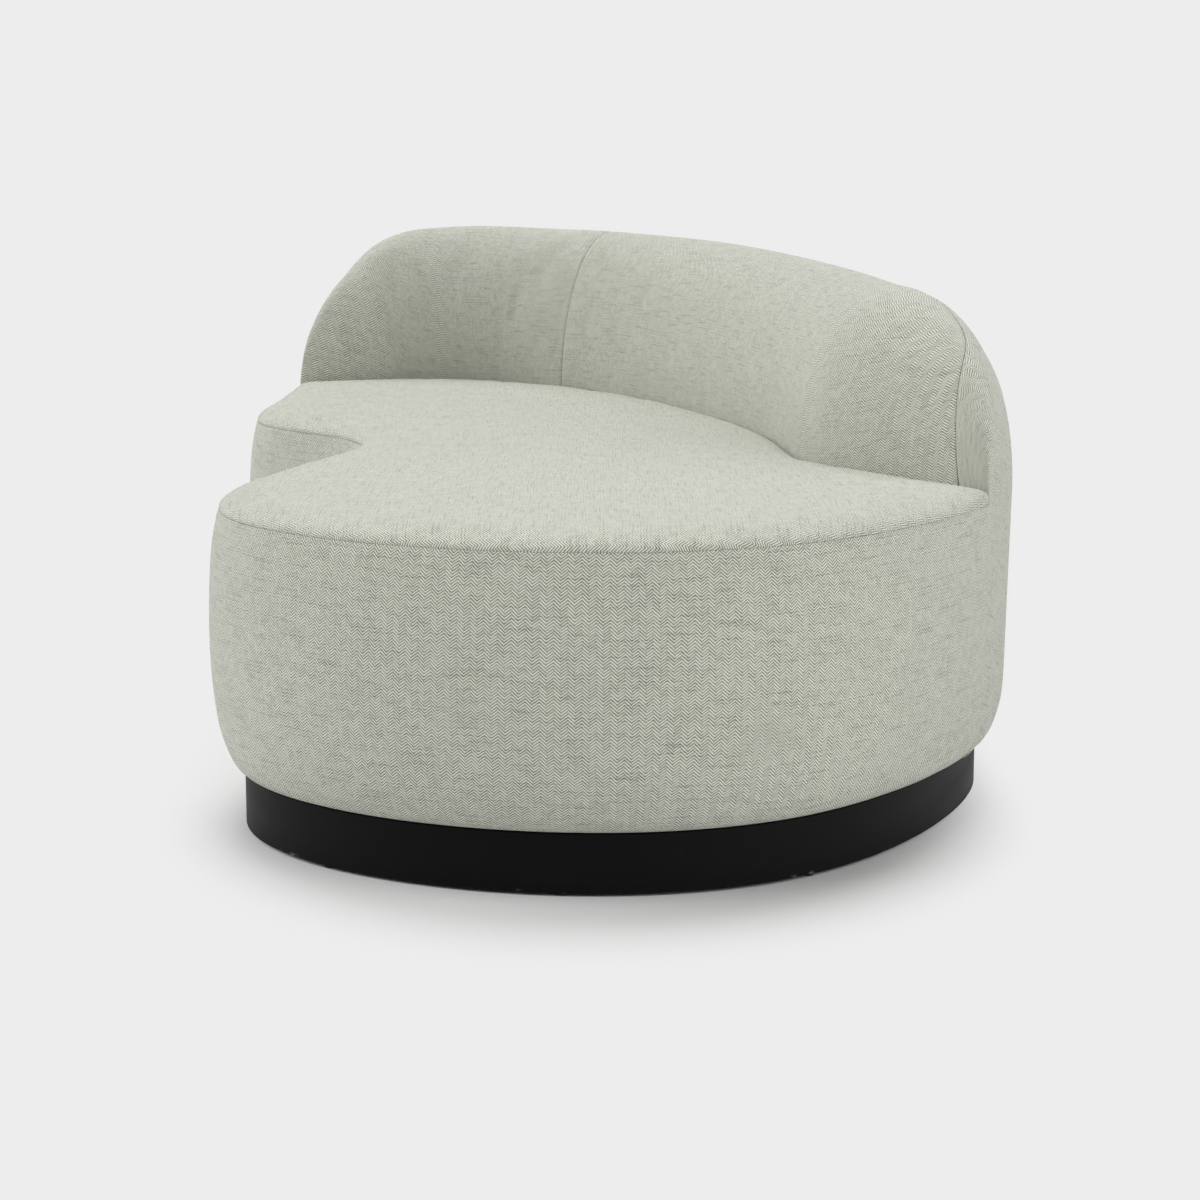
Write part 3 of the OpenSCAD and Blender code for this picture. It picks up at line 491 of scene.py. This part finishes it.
def settle(ob, free):
    """Presses the cloth out from its padding by simulation, held where free is 0."""
    scene = bpy.context.scene
    rest = coordinates(ob.data)
    group = ob.vertex_groups.new(name="held")
    for i, f in enumerate(free):
        group.add([i], float(1 - f), "REPLACE")
    cloth = ob.modifiers.new("tension", "CLOTH")
    s = cloth.settings
    s.quality = 5
    s.mass = 0.5
    s.tension_stiffness = s.compression_stiffness = 25
    s.shear_stiffness = 8
    s.bending_stiffness = 3
    s.vertex_group_mass = "held"
    s.use_pressure = True
    s.uniform_pressure_force = 4
    s.shrink_min = -0.006
    s.effector_weights.gravity = 0
    cloth.point_cache.frame_start, cloth.point_cache.frame_end = 1, CLOTH_FRAMES
    for f in range(1, CLOTH_FRAMES + 1):
        scene.frame_set(f)
    moved = coordinates(ob.evaluated_get(bpy.context.evaluated_depsgraph_get()).data) - rest
    scene.frame_set(1)
    ob.modifiers.remove(cloth)
    ob.vertex_groups.remove(group)
    far = np.linalg.norm(moved, axis=1, keepdims=True)
    moved *= CLOTH_MOVE * np.tanh(far / CLOTH_MOVE) / np.maximum(far, 1e-9)
    ob.data.vertices.foreach_set("co", (rest + moved).ravel())
    ob.data.update()


def draw_in(ob, depth):
    """Draws the cloth in at its stitched seams."""
    co = coordinates(ob.data)
    normals = np.zeros(len(co) * 3)
    ob.data.vertices.foreach_get("normal", normals)
    dip = depth * np.exp(-(attribute(ob.data, "seam") / DIP_REACH) ** 2)
    ob.data.vertices.foreach_set("co", (co - normals.reshape(-1, 3) * dip[:, None]).ravel())
    ob.data.update()


def finish_cover(ob, size, nodes):
    """Seams, thickness and cloth of a cover, which rides on the root and replaces nodes."""
    draw_in(ob, size.seam_depth)
    fine = ob.modifiers.new("fine", "SUBSURF")
    fine.levels = fine.render_levels = 1
    thickness = ob.modifiers.new("cloth", "SOLIDIFY")
    thickness.thickness = size.cloth
    thickness.offset = -1
    ob.data.materials.append(cloth_material())
    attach(ob, "root")
    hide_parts(*nodes)


class Net:
    """Short ways to place and join the nodes of one tree."""

    def __init__(self, tree):
        self.tree = tree

    def node(self, kind, wires=None, **fields):
        n = self.tree.nodes.new("ShaderNode" + kind)
        for key, value in fields.items():
            setattr(n, key, value)
        for key, value in (wires or {}).items():
            if isinstance(value, bpy.types.NodeSocket):
                self.tree.links.new(value, n.inputs[key])
            else:
                n.inputs[key].default_value = value
        return n

    def math(self, operation, *values):
        return self.node("Math", dict(enumerate(values)), operation=operation).outputs[0]

    def mix(self, share, a, b):
        return self.node("Mix", {0: share, 6: a, 7: b}, data_type="RGBA").outputs[2]

    def noise(self, vector, scale, detail=2.0, stretch=None):
        if stretch:
            vector = self.node("Mapping", {"Vector": vector, "Scale": stretch}).outputs[0]
        fields = {"Vector": vector, "Scale": scale, "Detail": detail}
        return self.node("TexNoise", fields).outputs[0]

    def ramp(self, value, low, high, out_low=0.0, out_high=1.0):
        return self.node("MapRange", {"Value": value, "From Min": low, "From Max": high,
            "To Min": out_low, "To Max": out_high}, interpolation_type="SMOOTHSTEP").outputs[0]

    def line(self, value, slope, start):
        return self.math("MULTIPLY_ADD", value, slope, start)

    def hump(self, value):
        """Rises from 0 to 1 and falls back over each whole step of the value."""
        return self.math("SINE", self.math("MULTIPLY", self.math("FRACT", value), math.pi))

    def wave(self, value, pitch):
        return self.math("SINE", self.math("MULTIPLY", value, 2 * math.pi / pitch))

    def join(self, a, b):
        self.tree.links.new(a, b)


def effect(name, inputs, outputs, build):
    """A node group with named sockets, made once."""
    tree = bpy.data.node_groups.get(name)
    if tree:
        return tree
    tree = bpy.data.node_groups.new(name, "ShaderNodeTree")
    for label, kind, value in inputs:
        socket = tree.interface.new_socket(label, in_out="INPUT", socket_type="NodeSocket" + kind)
        if value is not None:
            socket.default_value = value
    for label, kind in outputs:
        tree.interface.new_socket(label, in_out="OUTPUT", socket_type="NodeSocket" + kind)
    net = Net(tree)
    given = tree.nodes.new("NodeGroupInput")
    result = tree.nodes.new("NodeGroupOutput")
    for label, socket in build(net, given.outputs).items():
        net.join(socket, result.inputs[label])
    return tree


def herringbone():
    """Chunky herringbone weave on a cloth's own UV map, which is in metres, with painted shade
    along the stitched seams.
    """
    def build(net, given):
        uv = net.node("SeparateXYZ", {0: given["Place"]})
        u, v = uv.outputs[0], uv.outputs[1]
        wander = net.math("SUBTRACT", net.noise(given["Place"], 9.0, 1.0), 0.5)
        v = net.line(wander, 0.006, v)
        legs = net.math("DIVIDE", u, given["Leg"])
        column = net.math("FLOOR", legs)
        zigzag = net.math("PINGPONG", u, given["Leg"])
        # Every other leg leans less and has a closer pitch
        other = net.math("FLOORED_MODULO", column, 2.0)
        slant = net.line(zigzag, net.line(other, -0.2, 0.94), v)
        pitch = net.math("MULTIPLY", given["Pitch"], net.line(other, -0.16, 1.03))
        count = net.line(other, 0.5, net.math("DIVIDE", slant, pitch))
        # A thread is highest along its middle and sinks a little at the edges of its leg
        edge = net.math("POWER", net.hump(legs), 0.35)
        body = net.math("MULTIPLY", net.hump(count), net.line(edge, 0.18, 0.82))
        spot = net.node("CombineXYZ", {0: column, 1: net.math("FLOOR", count)}).outputs[0]
        lot = net.node("TexWhiteNoise", {"Vector": spot}, noise_dimensions="2D").outputs[0]
        # Long thin slubs, short flecks, mixed fibres and slow clouds
        slub = net.ramp(net.noise(given["Place"], 1.0, 3.0, (15, 420, 1)), 0.53, 0.67)
        heather = net.noise(given["Place"], 640.0, 2.0)
        fleck = net.ramp(net.noise(given["Place"], 330.0, 1.0, (1, 1.6, 1)), 0.62, 0.72)
        cloud = net.noise(given["Place"], 14.0, 3.0, (1, 2.2, 1))
        gap = net.math("SUBTRACT", 1.35, body)
        share = net.line(lot, 0.24, net.line(body, 1.3, -0.28))
        share = net.line(net.math("MULTIPLY", slub, gap), -0.45, share)
        share = net.line(fleck, -0.25, share)
        share = net.math("ADD", share, net.line(heather, 0.36, -0.18))
        share = net.math("ADD", share, net.line(cloud, 0.07, -0.035))
        share = net.math("MINIMUM", 1.0, net.math("MAXIMUM", 0.0, share))
        colour = net.mix(share, given["Dark"], given["Light"])
        # Painted shade: the stitched seam's crevice gets a painted dark line, whose strength
        # swings with its stitches
        thin = net.ramp(given["Seam"], 0.0004, 0.0012, 1.0, 0.0)
        stitch = net.line(net.wave(net.math("ADD", u, v), 0.0045), 0.3, 0.65)
        colour = net.mix(net.math("MULTIPLY", thin, stitch), colour, (0.035, 0.035, 0.03, 1))
        fibre = net.line(heather, 0.35, net.math("MULTIPLY", slub, -0.15))
        height = net.math("ADD", net.line(lot, 0.25, body), fibre)
        return {"Color": colour, "Height": height, "Roughness": net.line(share, -0.08, 0.96)}
    return effect("herringbone weave",
        [("Place", "Vector", None), ("Seam", "Float", 1.0), ("Leg", "Float", 0.0086),
         ("Pitch", "Float", 0.0043), ("Light", "Color", None), ("Dark", "Color", None)],
        [("Color", "Color"), ("Height", "Float"), ("Roughness", "Float")], build)


def grain():
    """Long wood grain along an axis that the Stretch input picks."""
    def build(net, given):
        place = net.node("VectorMath", {0: given["Place"], 1: given["Stretch"]},
            operation="MULTIPLY").outputs[0]
        rings = net.noise(place, 1.0, 4.0)
        lines = net.ramp(net.math("FRACT", net.math("MULTIPLY", rings, 9.0)), 0.0, 1.0)
        fibre = net.noise(place, 6.0, 5.0)
        share = net.line(lines, 0.5, net.math("MULTIPLY", fibre, 0.5))
        colour = net.mix(share, given["Dark"], given["Light"])
        return {"Color": colour, "Height": fibre, "Roughness": net.line(fibre, 0.25, 0.5)}
    return effect("wood grain", [("Place", "Vector", None), ("Stretch", "Vector", (4, 60, 60)),
        ("Light", "Color", None), ("Dark", "Color", None)],
        [("Color", "Color"), ("Height", "Float"), ("Roughness", "Float")], build)


def fibres():
    """Fine matted fibres or pores in two colours."""
    def build(net, given):
        fine = net.noise(given["Place"], given["Scale"], 5.0)
        spots = net.node("TexVoronoi",
            {"Vector": given["Place"], "Scale": given["Scale"]}).outputs[0]
        share = net.ramp(net.line(spots, 0.6, net.math("MULTIPLY", fine, 0.6)), 0.2, 0.85)
        return {"Color": net.mix(share, given["Light"], given["Dark"]), "Height": fine,
                "Roughness": net.line(fine, 0.1, 0.88)}
    return effect("matted fibres", [("Place", "Vector", None), ("Scale", "Float", 600.0),
        ("Light", "Color", None), ("Dark", "Color", None)],
        [("Color", "Color"), ("Height", "Float"), ("Roughness", "Float")], build)


def wear():
    """Chips in a band at the bottom, thin rubs and slow clouds."""
    def build(net, given):
        z = net.node("SeparateXYZ", {0: given["Place"]}).outputs[2]
        low = net.ramp(z, given["Bottom"], net.math("ADD", given["Bottom"], 0.006), 1.0, 0.0)
        chips = net.ramp(net.noise(given["Place"], 45.0, 4.0), 0.63, 0.7)
        cloud = net.noise(given["Place"], 7.0, 4.0, (1, 1, 4))
        rubs = net.ramp(net.noise(given["Place"], 60.0, 3.0, (1, 1, 0.12)), 0.66, 0.8)
        return {"Chips": net.math("MULTIPLY", low, chips), "Cloud": cloud,
                "Rubs": net.math("MULTIPLY", rubs, cloud)}
    return effect("handling wear", [("Place", "Vector", None), ("Bottom", "Float", 0.0)],
        [("Chips", "Float"), ("Cloud", "Float"), ("Rubs", "Float")], build)


def surface(name, **fixed):
    """A new material with its tree, its shader, whose sockets take the fixed values, and Object
    coordinates."""
    material = bpy.data.materials.new(name)
    material.use_nodes = True
    net = Net(material.node_tree)
    shader = material.node_tree.nodes["Principled BSDF"]
    for key, value in fixed.items():
        shader.inputs[key.replace("_", " ").title().replace("Ior", "IOR")].default_value = value
    return material, net, shader, net.node("TexCoord").outputs["Object"]


def relief(net, strength, distance, height):
    return net.node("Bump",
        {"Strength": strength, "Distance": distance, "Height": height}).outputs[0]


def dress(net, shader, made, strength, distance):
    """Joins an effect's colour, roughness and height to a material's shader."""
    net.join(made.outputs["Color"], shader.inputs["Base Color"])
    net.join(made.outputs["Roughness"], shader.inputs["Roughness"])
    net.join(relief(net, strength, distance, made.outputs["Height"]), shader.inputs["Normal"])


def rough_surface(name, group, strength, distance, wires):
    material, net, shader, place = surface(name)
    made = net.node("Group", {"Place": place, **wires}, node_tree=group)
    dress(net, shader, made, strength, distance)
    return material


def cloth_material():
    """The covers' shared cloth, whose pattern follows each cover's own UV map."""
    material = bpy.data.materials.get("herringbone cloth")
    if material:
        return material
    look = bpy.context.scene.sofa_finish
    material, net, shader, _ = surface("herringbone cloth", sheen_weight=0.25,
        sheen_roughness=0.5, specular_ior_level=0.2)
    made = net.node("Group", {
        "Place": net.node("UVMap", uv_map="UVMap").outputs[0],
        "Seam": net.node("Attribute", attribute_name="seam").outputs["Fac"],
        "Leg": look.leg, "Pitch": look.pitch, "Light": look.light_yarn, "Dark": look.dark_yarn},
        node_tree=herringbone())
    dress(net, shader, made, 0.55, 0.0006)
    return material


def plinth_material():
    """Satin black paint with faint clouds and rubs, chipped along its foot."""
    look = bpy.context.scene.sofa_finish
    material, net, shader, place = surface("satin black paint", specular_ior_level=0.07)
    marks = net.node("Group", {"Place": place, "Bottom": PLINTH[0].z}, node_tree=wear()).outputs
    tone = net.mix(marks["Cloud"], look.plinth, (0.005, 0.005, 0.0052, 1))
    tone = net.mix(net.math("MULTIPLY", marks["Rubs"], 0.25), tone, (0.03, 0.03, 0.031, 1))
    tone = net.mix(marks["Chips"], tone, (0.16, 0.155, 0.145, 1))
    net.join(tone, shader.inputs["Base Color"])
    net.join(net.line(marks["Cloud"], 0.16, 0.42), shader.inputs["Roughness"])
    net.join(relief(net, 0.15, 0.0004, net.noise(place, 260.0, 3.0)), shader.inputs["Normal"])
    return material


def webbing_material():
    """Woven elastic in two close shades, ribbed both ways."""
    material, net, shader, place = surface("elastic webbing")
    p = net.node("SeparateXYZ", {0: place})
    ribs = net.math("MULTIPLY", *(net.wave(p.outputs[k], 0.004) for k in (0, 1)))
    weave = net.line(ribs, 0.5, 0.5)
    stripe = net.ramp(net.noise(place, 90.0, 2.0), 0.45, 0.6)
    yarn = net.mix(stripe, (0.74, 0.7, 0.6, 1), (0.64, 0.6, 0.5, 1))
    net.join(net.mix(weave, (0.36, 0.33, 0.27, 1), yarn), shader.inputs["Base Color"])
    net.join(net.line(weave, -0.15, 0.9), shader.inputs["Roughness"])
    net.join(relief(net, 0.5, 0.0006, weave), shader.inputs["Normal"])
    return material


def steel_material():
    """Zinc plating with its spangle."""
    material, net, shader, place = surface("zinc plating", metallic=1.0)
    spangle = net.node("TexVoronoi", {"Vector": place, "Scale": 420.0}).outputs[1]
    net.join(net.mix(net.noise(spangle, 3.0), (0.5, 0.5, 0.52, 1), (0.72, 0.72, 0.74, 1)),
        shader.inputs["Base Color"])
    net.join(net.line(net.noise(place, 180.0, 4.0), 0.3, 0.22), shader.inputs["Roughness"])
    return material


def finishes():
    """The finish of each material slot that carried-over nodes have."""
    wood, mat = grain(), fibres()
    return {
        "plinth": plinth_material(),
        "glide": rough_surface("glide plastic", mat, 0.1, 0.0002, {"Scale": 900.0,
            "Light": (0.02, 0.02, 0.02, 1), "Dark": (0.012, 0.012, 0.012, 1)}),
        "plywood": rough_surface("birch plywood", wood, 0.15, 0.0004, {"Stretch": (5, 34, 700),
            "Light": (0.62, 0.47, 0.28, 1), "Dark": (0.4, 0.27, 0.14, 1)}),
        "timber": rough_surface("sawn softwood", wood, 0.3, 0.0006, {"Stretch": (40, 40, 6),
            "Light": (0.66, 0.5, 0.3, 1), "Dark": (0.42, 0.28, 0.14, 1)}),
        "hardboard": rough_surface("hardboard", mat, 0.2, 0.0004, {"Scale": 500.0,
            "Light": (0.24, 0.14, 0.07, 1), "Dark": (0.13, 0.075, 0.035, 1)}),
        "foam": rough_surface("open-cell foam", mat, 0.5, 0.0008, {"Scale": 420.0,
            "Light": (0.82, 0.75, 0.5, 1), "Dark": (0.5, 0.43, 0.24, 1)}),
        "webbing": webbing_material(),
        "felt": rough_surface("needled felt", mat, 0.6, 0.001, {"Scale": 260.0,
            "Light": (0.13, 0.135, 0.15, 1), "Dark": (0.06, 0.062, 0.07, 1)}),
        "lining": rough_surface("black lining", mat, 0.4, 0.0003, {"Scale": 750.0,
            "Light": (0.03, 0.03, 0.032, 1), "Dark": (0.012, 0.012, 0.013, 1)}),
        "steel": steel_material(),
    }


def nearest(*distances):
    return np.minimum.reduce(np.broadcast_arrays(*distances))


def tilt(way, slope):
    """Shift of the weave's rows, which run aslant round a nose and level out further on."""
    return slope * SLANT_REACH / 2 * (1 - (1 - clamp(way / SLANT_REACH)) ** 2)


class SOFA_OT_seat_covers(bpy.types.Operator):
    """The seat's crowned top and the bellied border round its front"""
    bl_idname = "sofa.seat_covers"
    bl_label = "Seat covers"

    def execute(self, context):
        size = context.scene.sofa_sizes
        form = Form(size)
        s = seat_ways(form)
        points, arc = even_rows(form.seat(s), SEAT_ROW, end=MIDDLE_CLOSE)
        # The weave lies flat in plan on the top and runs on over the rolled edge
        run = np.linalg.norm(np.diff(points[..., :2], axis=1), axis=2)
        excess = arc - np.concatenate([np.zeros((len(s), 1)), np.cumsum(run, axis=1)], 1)
        over = (excess[:, -1:] - excess)[..., None]
        uv = points[..., :2] + form.outward(s)[:, None] * over
        # The crevice along the back has no stitched seam, so distances there are 1 m more
        tucked = np.where(form.past_tip(s) < CREVICE, 0, 1)[:, None]
        top = cover("seat_top", points, uv, arc + FAINT + tucked, closed=True)
        rim = attribute(top.data, "seam") % 1
        settle(top, rise(rim, *SEAT_FREE) * (1 - rise(rim, *SEAT_HELD)))
        finish_cover(top, size, ("seat_top_cover", "seat_foam"))

        s = border_ways(form.back, form.loop)
        points, arc = even_rows(form.border(s), BORDER_ROW, start=FOOT_CLOSE)
        ends = nearest(s - form.back, form.loop - s)[:, None] + PLAIN_JOIN
        seam = nearest(arc[:, -1:] - arc, ends)
        uv = np.stack(np.broadcast_arrays(s[:, None], arc - arc[:, -1:]), -1)
        border = cover("seat_border", points, uv, seam + FAINT)
        settle(border, freedom(border, size.foot, *OFF_FOOT))
        finish_cover(border, size, ("seat_border_cover", "border_padding"))
        return {"FINISHED"}


class SOFA_OT_back_covers(bpy.types.Operator):
    """The back's outer cover and the two panels of its inner face"""
    bl_idname = "sofa.back_covers"
    bl_label = "Back covers"

    def execute(self, context):
        size = context.scene.sofa_sizes
        form = Form(size)
        s = back_ways(form, 0, form.back)
        points, arc = even_rows(form.back_outside(s), BACK_ROW, start=FOOT_CLOSE)
        seam = nearest(arc[:, -1:] - arc, nearest(s, form.back - s)[:, None] + PLAIN_JOIN)
        v = arc + (tilt(s, OUTSIDE_SLOPE) + tilt(form.back - s, OUTSIDE_SLOPE))[:, None]
        uv = np.stack(np.broadcast_arrays(s[:, None] + OUTSIDE_BOLT, v), -1)
        outer = cover("back_outside", points, uv, seam)
        settle(outer, freedom(outer, size.foot, *OFF_FOOT))
        finish_cover(outer, size, ("back_outer_cover", "rear_padding", "back_outer_pad",
                                   "back_outer_roll", "open_nose_foam", "closed_nose_foam"))

        cross = size.nose + CROSS_SEAM * (form.back - 2 * size.nose)
        start = INNER_START * size.nose
        for name, nodes, a, b in (
                ("back_inside", ("back_inner_cover", "back_inner_pad"), start, cross),
                ("wing_inside", ("wing_inner_cover", "back_inner_roll"), cross, form.back)):
            s = back_ways(form, a, b)
            points, arc = even_rows(form.back_inside(s), BACK_ROW)
            seam = nearest(arc, abs(s - cross)[:, None])
            slant = tilt(s, INSIDE_SLOPE) + tilt(form.back - s, INSIDE_SLOPE)
            v = arc[:, -1:] - arc + slant[:, None]
            uv = np.stack(np.broadcast_arrays(s[:, None] + INSIDE_BOLT, v), -1)
            panel = cover(name, points, uv, seam)
            settle(panel, freedom(panel, size.seam, *OFF_SEAT))
            finish_cover(panel, size, nodes)
        return {"FINISHED"}


class SOFA_OT_plinth(bpy.types.Operator):
    """The bent black band under the upholstery"""
    bl_idname = "sofa.plinth"
    bl_label = "Plinth"

    def execute(self, context):
        size = context.scene.sofa_sizes
        form = Form(size)
        low, high = PLINTH[0].z, PLINTH[1].z
        outer, inner = size.plinth_inset, size.lip
        s = np.linspace(0, form.loop, 361)
        d = np.broadcast_to([inner, outer, outer, inner, inner], (len(s), 5))
        ob = cover("plinth", form.place(s, d, np.array([low, low, high, high, low])),
                   np.zeros((len(s), 5, 2)), np.ones(d.shape), closed=True)
        edge = ob.modifiers.new("eased edges", "BEVEL")
        edge.width = 0.0012
        edge.segments = 2
        edge.limit_method = "ANGLE"
        ob.data.set_sharp_from_angle(angle=math.radians(50))
        ob.data.materials.append(plinth_material())
        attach(ob, "root")
        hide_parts("plinth_band")
        return {"FINISHED"}


class SOFA_OT_finishes(bpy.types.Operator):
    """Paint, wood, foam and metal finishes of the carried-over pieces"""
    bl_idname = "sofa.finishes"
    bl_label = "Finishes"

    def execute(self, context):
        by_slot = finishes()
        for part in frame["record"]["subparts"]:
            material = by_slot.get(part["material_slot"])
            if material:
                data = frame["nodes"][part["node"]].data
                data.materials.clear()
                data.materials.append(material)
        return {"FINISHED"}


class SOFA_OT_stage(bpy.types.Operator):
    """Camera, soft studio light and the pale floor"""
    bl_idname = "sofa.stage"
    bl_label = "Stage"

    def execute(self, context):
        scene, look = context.scene, context.scene.sofa_finish
        camera = bpy.data.objects.new("camera", bpy.data.cameras.new("camera"))
        camera.data.lens, camera.data.sensor_width = CAMERA_LENS, 36
        camera.location = CAMERA_PLACE
        camera.rotation_euler = (math.radians(90 - CAMERA_FALL), 0, math.radians(90))
        scene.collection.objects.link(camera)
        scene.camera = camera
        self.light(scene, look)
        self.floor(scene, look)
        scene.view_settings.view_transform = "Standard"
        return {"FINISHED"}

    def light(self, scene, look):
        world = bpy.data.worlds.new("studio")
        world.use_nodes = True
        scene.world = world
        net = Net(world.node_tree)
        seen = self.seen(net)
        plain = world.node_tree.nodes["Background"]
        plain.inputs[0].default_value = (1, 1, 1, 1)
        plain.inputs[1].default_value = WORLD_LIGHT
        shown = net.node("Background", {0: look.backdrop, 1: 1.0})
        both = net.node("MixShader", {0: seen, 1: plain.outputs[0], 2: shown.outputs[0]})
        net.join(both.outputs[0], world.node_tree.nodes["World Output"].inputs[0])

        for name, way, strength, width in LAMPS:
            lamp = bpy.data.lights.new(name, "SUN")
            lamp.energy, lamp.angle = strength, math.radians(width)
            ob = bpy.data.objects.new(name, lamp)
            ob.rotation_euler = Vector(way).to_track_quat("Z", "Y").to_euler()
            scene.collection.objects.link(ob)

    def floor(self, scene, look):
        bm = bmesh.new()
        bmesh.ops.create_grid(bm, x_segments=1, y_segments=1, size=30)
        mesh = bpy.data.meshes.new("floor")
        bm.to_mesh(mesh)
        bm.free()
        floor = bpy.data.objects.new("floor", mesh)
        floor.location.z = -FLOOR_DROP
        scene.collection.objects.link(floor)
        material, net, shader, place = surface("studio floor", roughness=0.9,
            specular_ior_level=0.0)
        shader.inputs["Base Color"].default_value = FLOOR_SHADE
        p = net.node("SeparateXYZ", {0: place}).outputs
        x = net.math("MINIMUM", FADE_HALF, net.math("MAXIMUM", -FADE_HALF, p[0]))
        flat = net.node("CombineXYZ", {0: net.math("SUBTRACT", p[0], x),
            1: net.math("MULTIPLY", p[1], FADE_ACROSS)}).outputs[0]
        away = net.node("VectorMath", {0: flat}, operation="LENGTH").outputs["Value"]
        far = net.ramp(away, *FADE)
        glow = net.node("Emission", {0: look.backdrop, 1: 1.0})
        share = net.math("MULTIPLY", self.seen(net), far)
        both = net.node("MixShader", {0: share, 1: shader.outputs[0], 2: glow.outputs[0]})
        net.join(both.outputs[0], material.node_tree.nodes["Material Output"].inputs[0])
        floor.data.materials.append(material)

    @staticmethod
    def seen(net):
        """1 on the rays that show the backdrop, 0 on those that light the sofa."""
        path = net.node("LightPath").outputs
        return net.math("MAXIMUM", path["Is Camera Ray"], net.math("MAXIMUM",
            path["Is Glossy Ray"], path["Is Transmission Ray"]))


class SOFA_PT_panel(bpy.types.Panel):
    """Lists the sofa's sizes, colours and steps"""
    bl_idname = "SOFA_PT_panel"
    bl_label = "Corner sofa"
    bl_space_type = "VIEW_3D"
    bl_region_type = "UI"
    bl_category = "Sofa"

    def draw(self, context):
        for group in (context.scene.sofa_sizes, context.scene.sofa_finish):
            for name in group.__annotations__:
                self.layout.prop(group, name)
        for step in STEPS:
            self.layout.operator(step.bl_idname)


STEPS = (SOFA_OT_stage, SOFA_OT_finishes, SOFA_OT_plinth, SOFA_OT_seat_covers, SOFA_OT_back_covers)
CLASSES = (SofaSizes, SofaFinish, *STEPS, SOFA_PT_panel)


def register():
    for c in CLASSES:
        bpy.utils.register_class(c)
    bpy.types.Scene.sofa_sizes = bpy.props.PointerProperty(type=SofaSizes)
    bpy.types.Scene.sofa_finish = bpy.props.PointerProperty(type=SofaFinish)


def unregister():
    del bpy.types.Scene.sofa_sizes, bpy.types.Scene.sofa_finish
    for c in reversed(CLASSES):
        bpy.utils.unregister_class(c)


def main():
    register()
    bpy.ops.sofa.stage()
    bpy.ops.sofa.finishes()
    bpy.ops.sofa.plinth()
    bpy.ops.sofa.seat_covers()
    bpy.ops.sofa.back_covers()


if __name__ == "__main__":
    main()
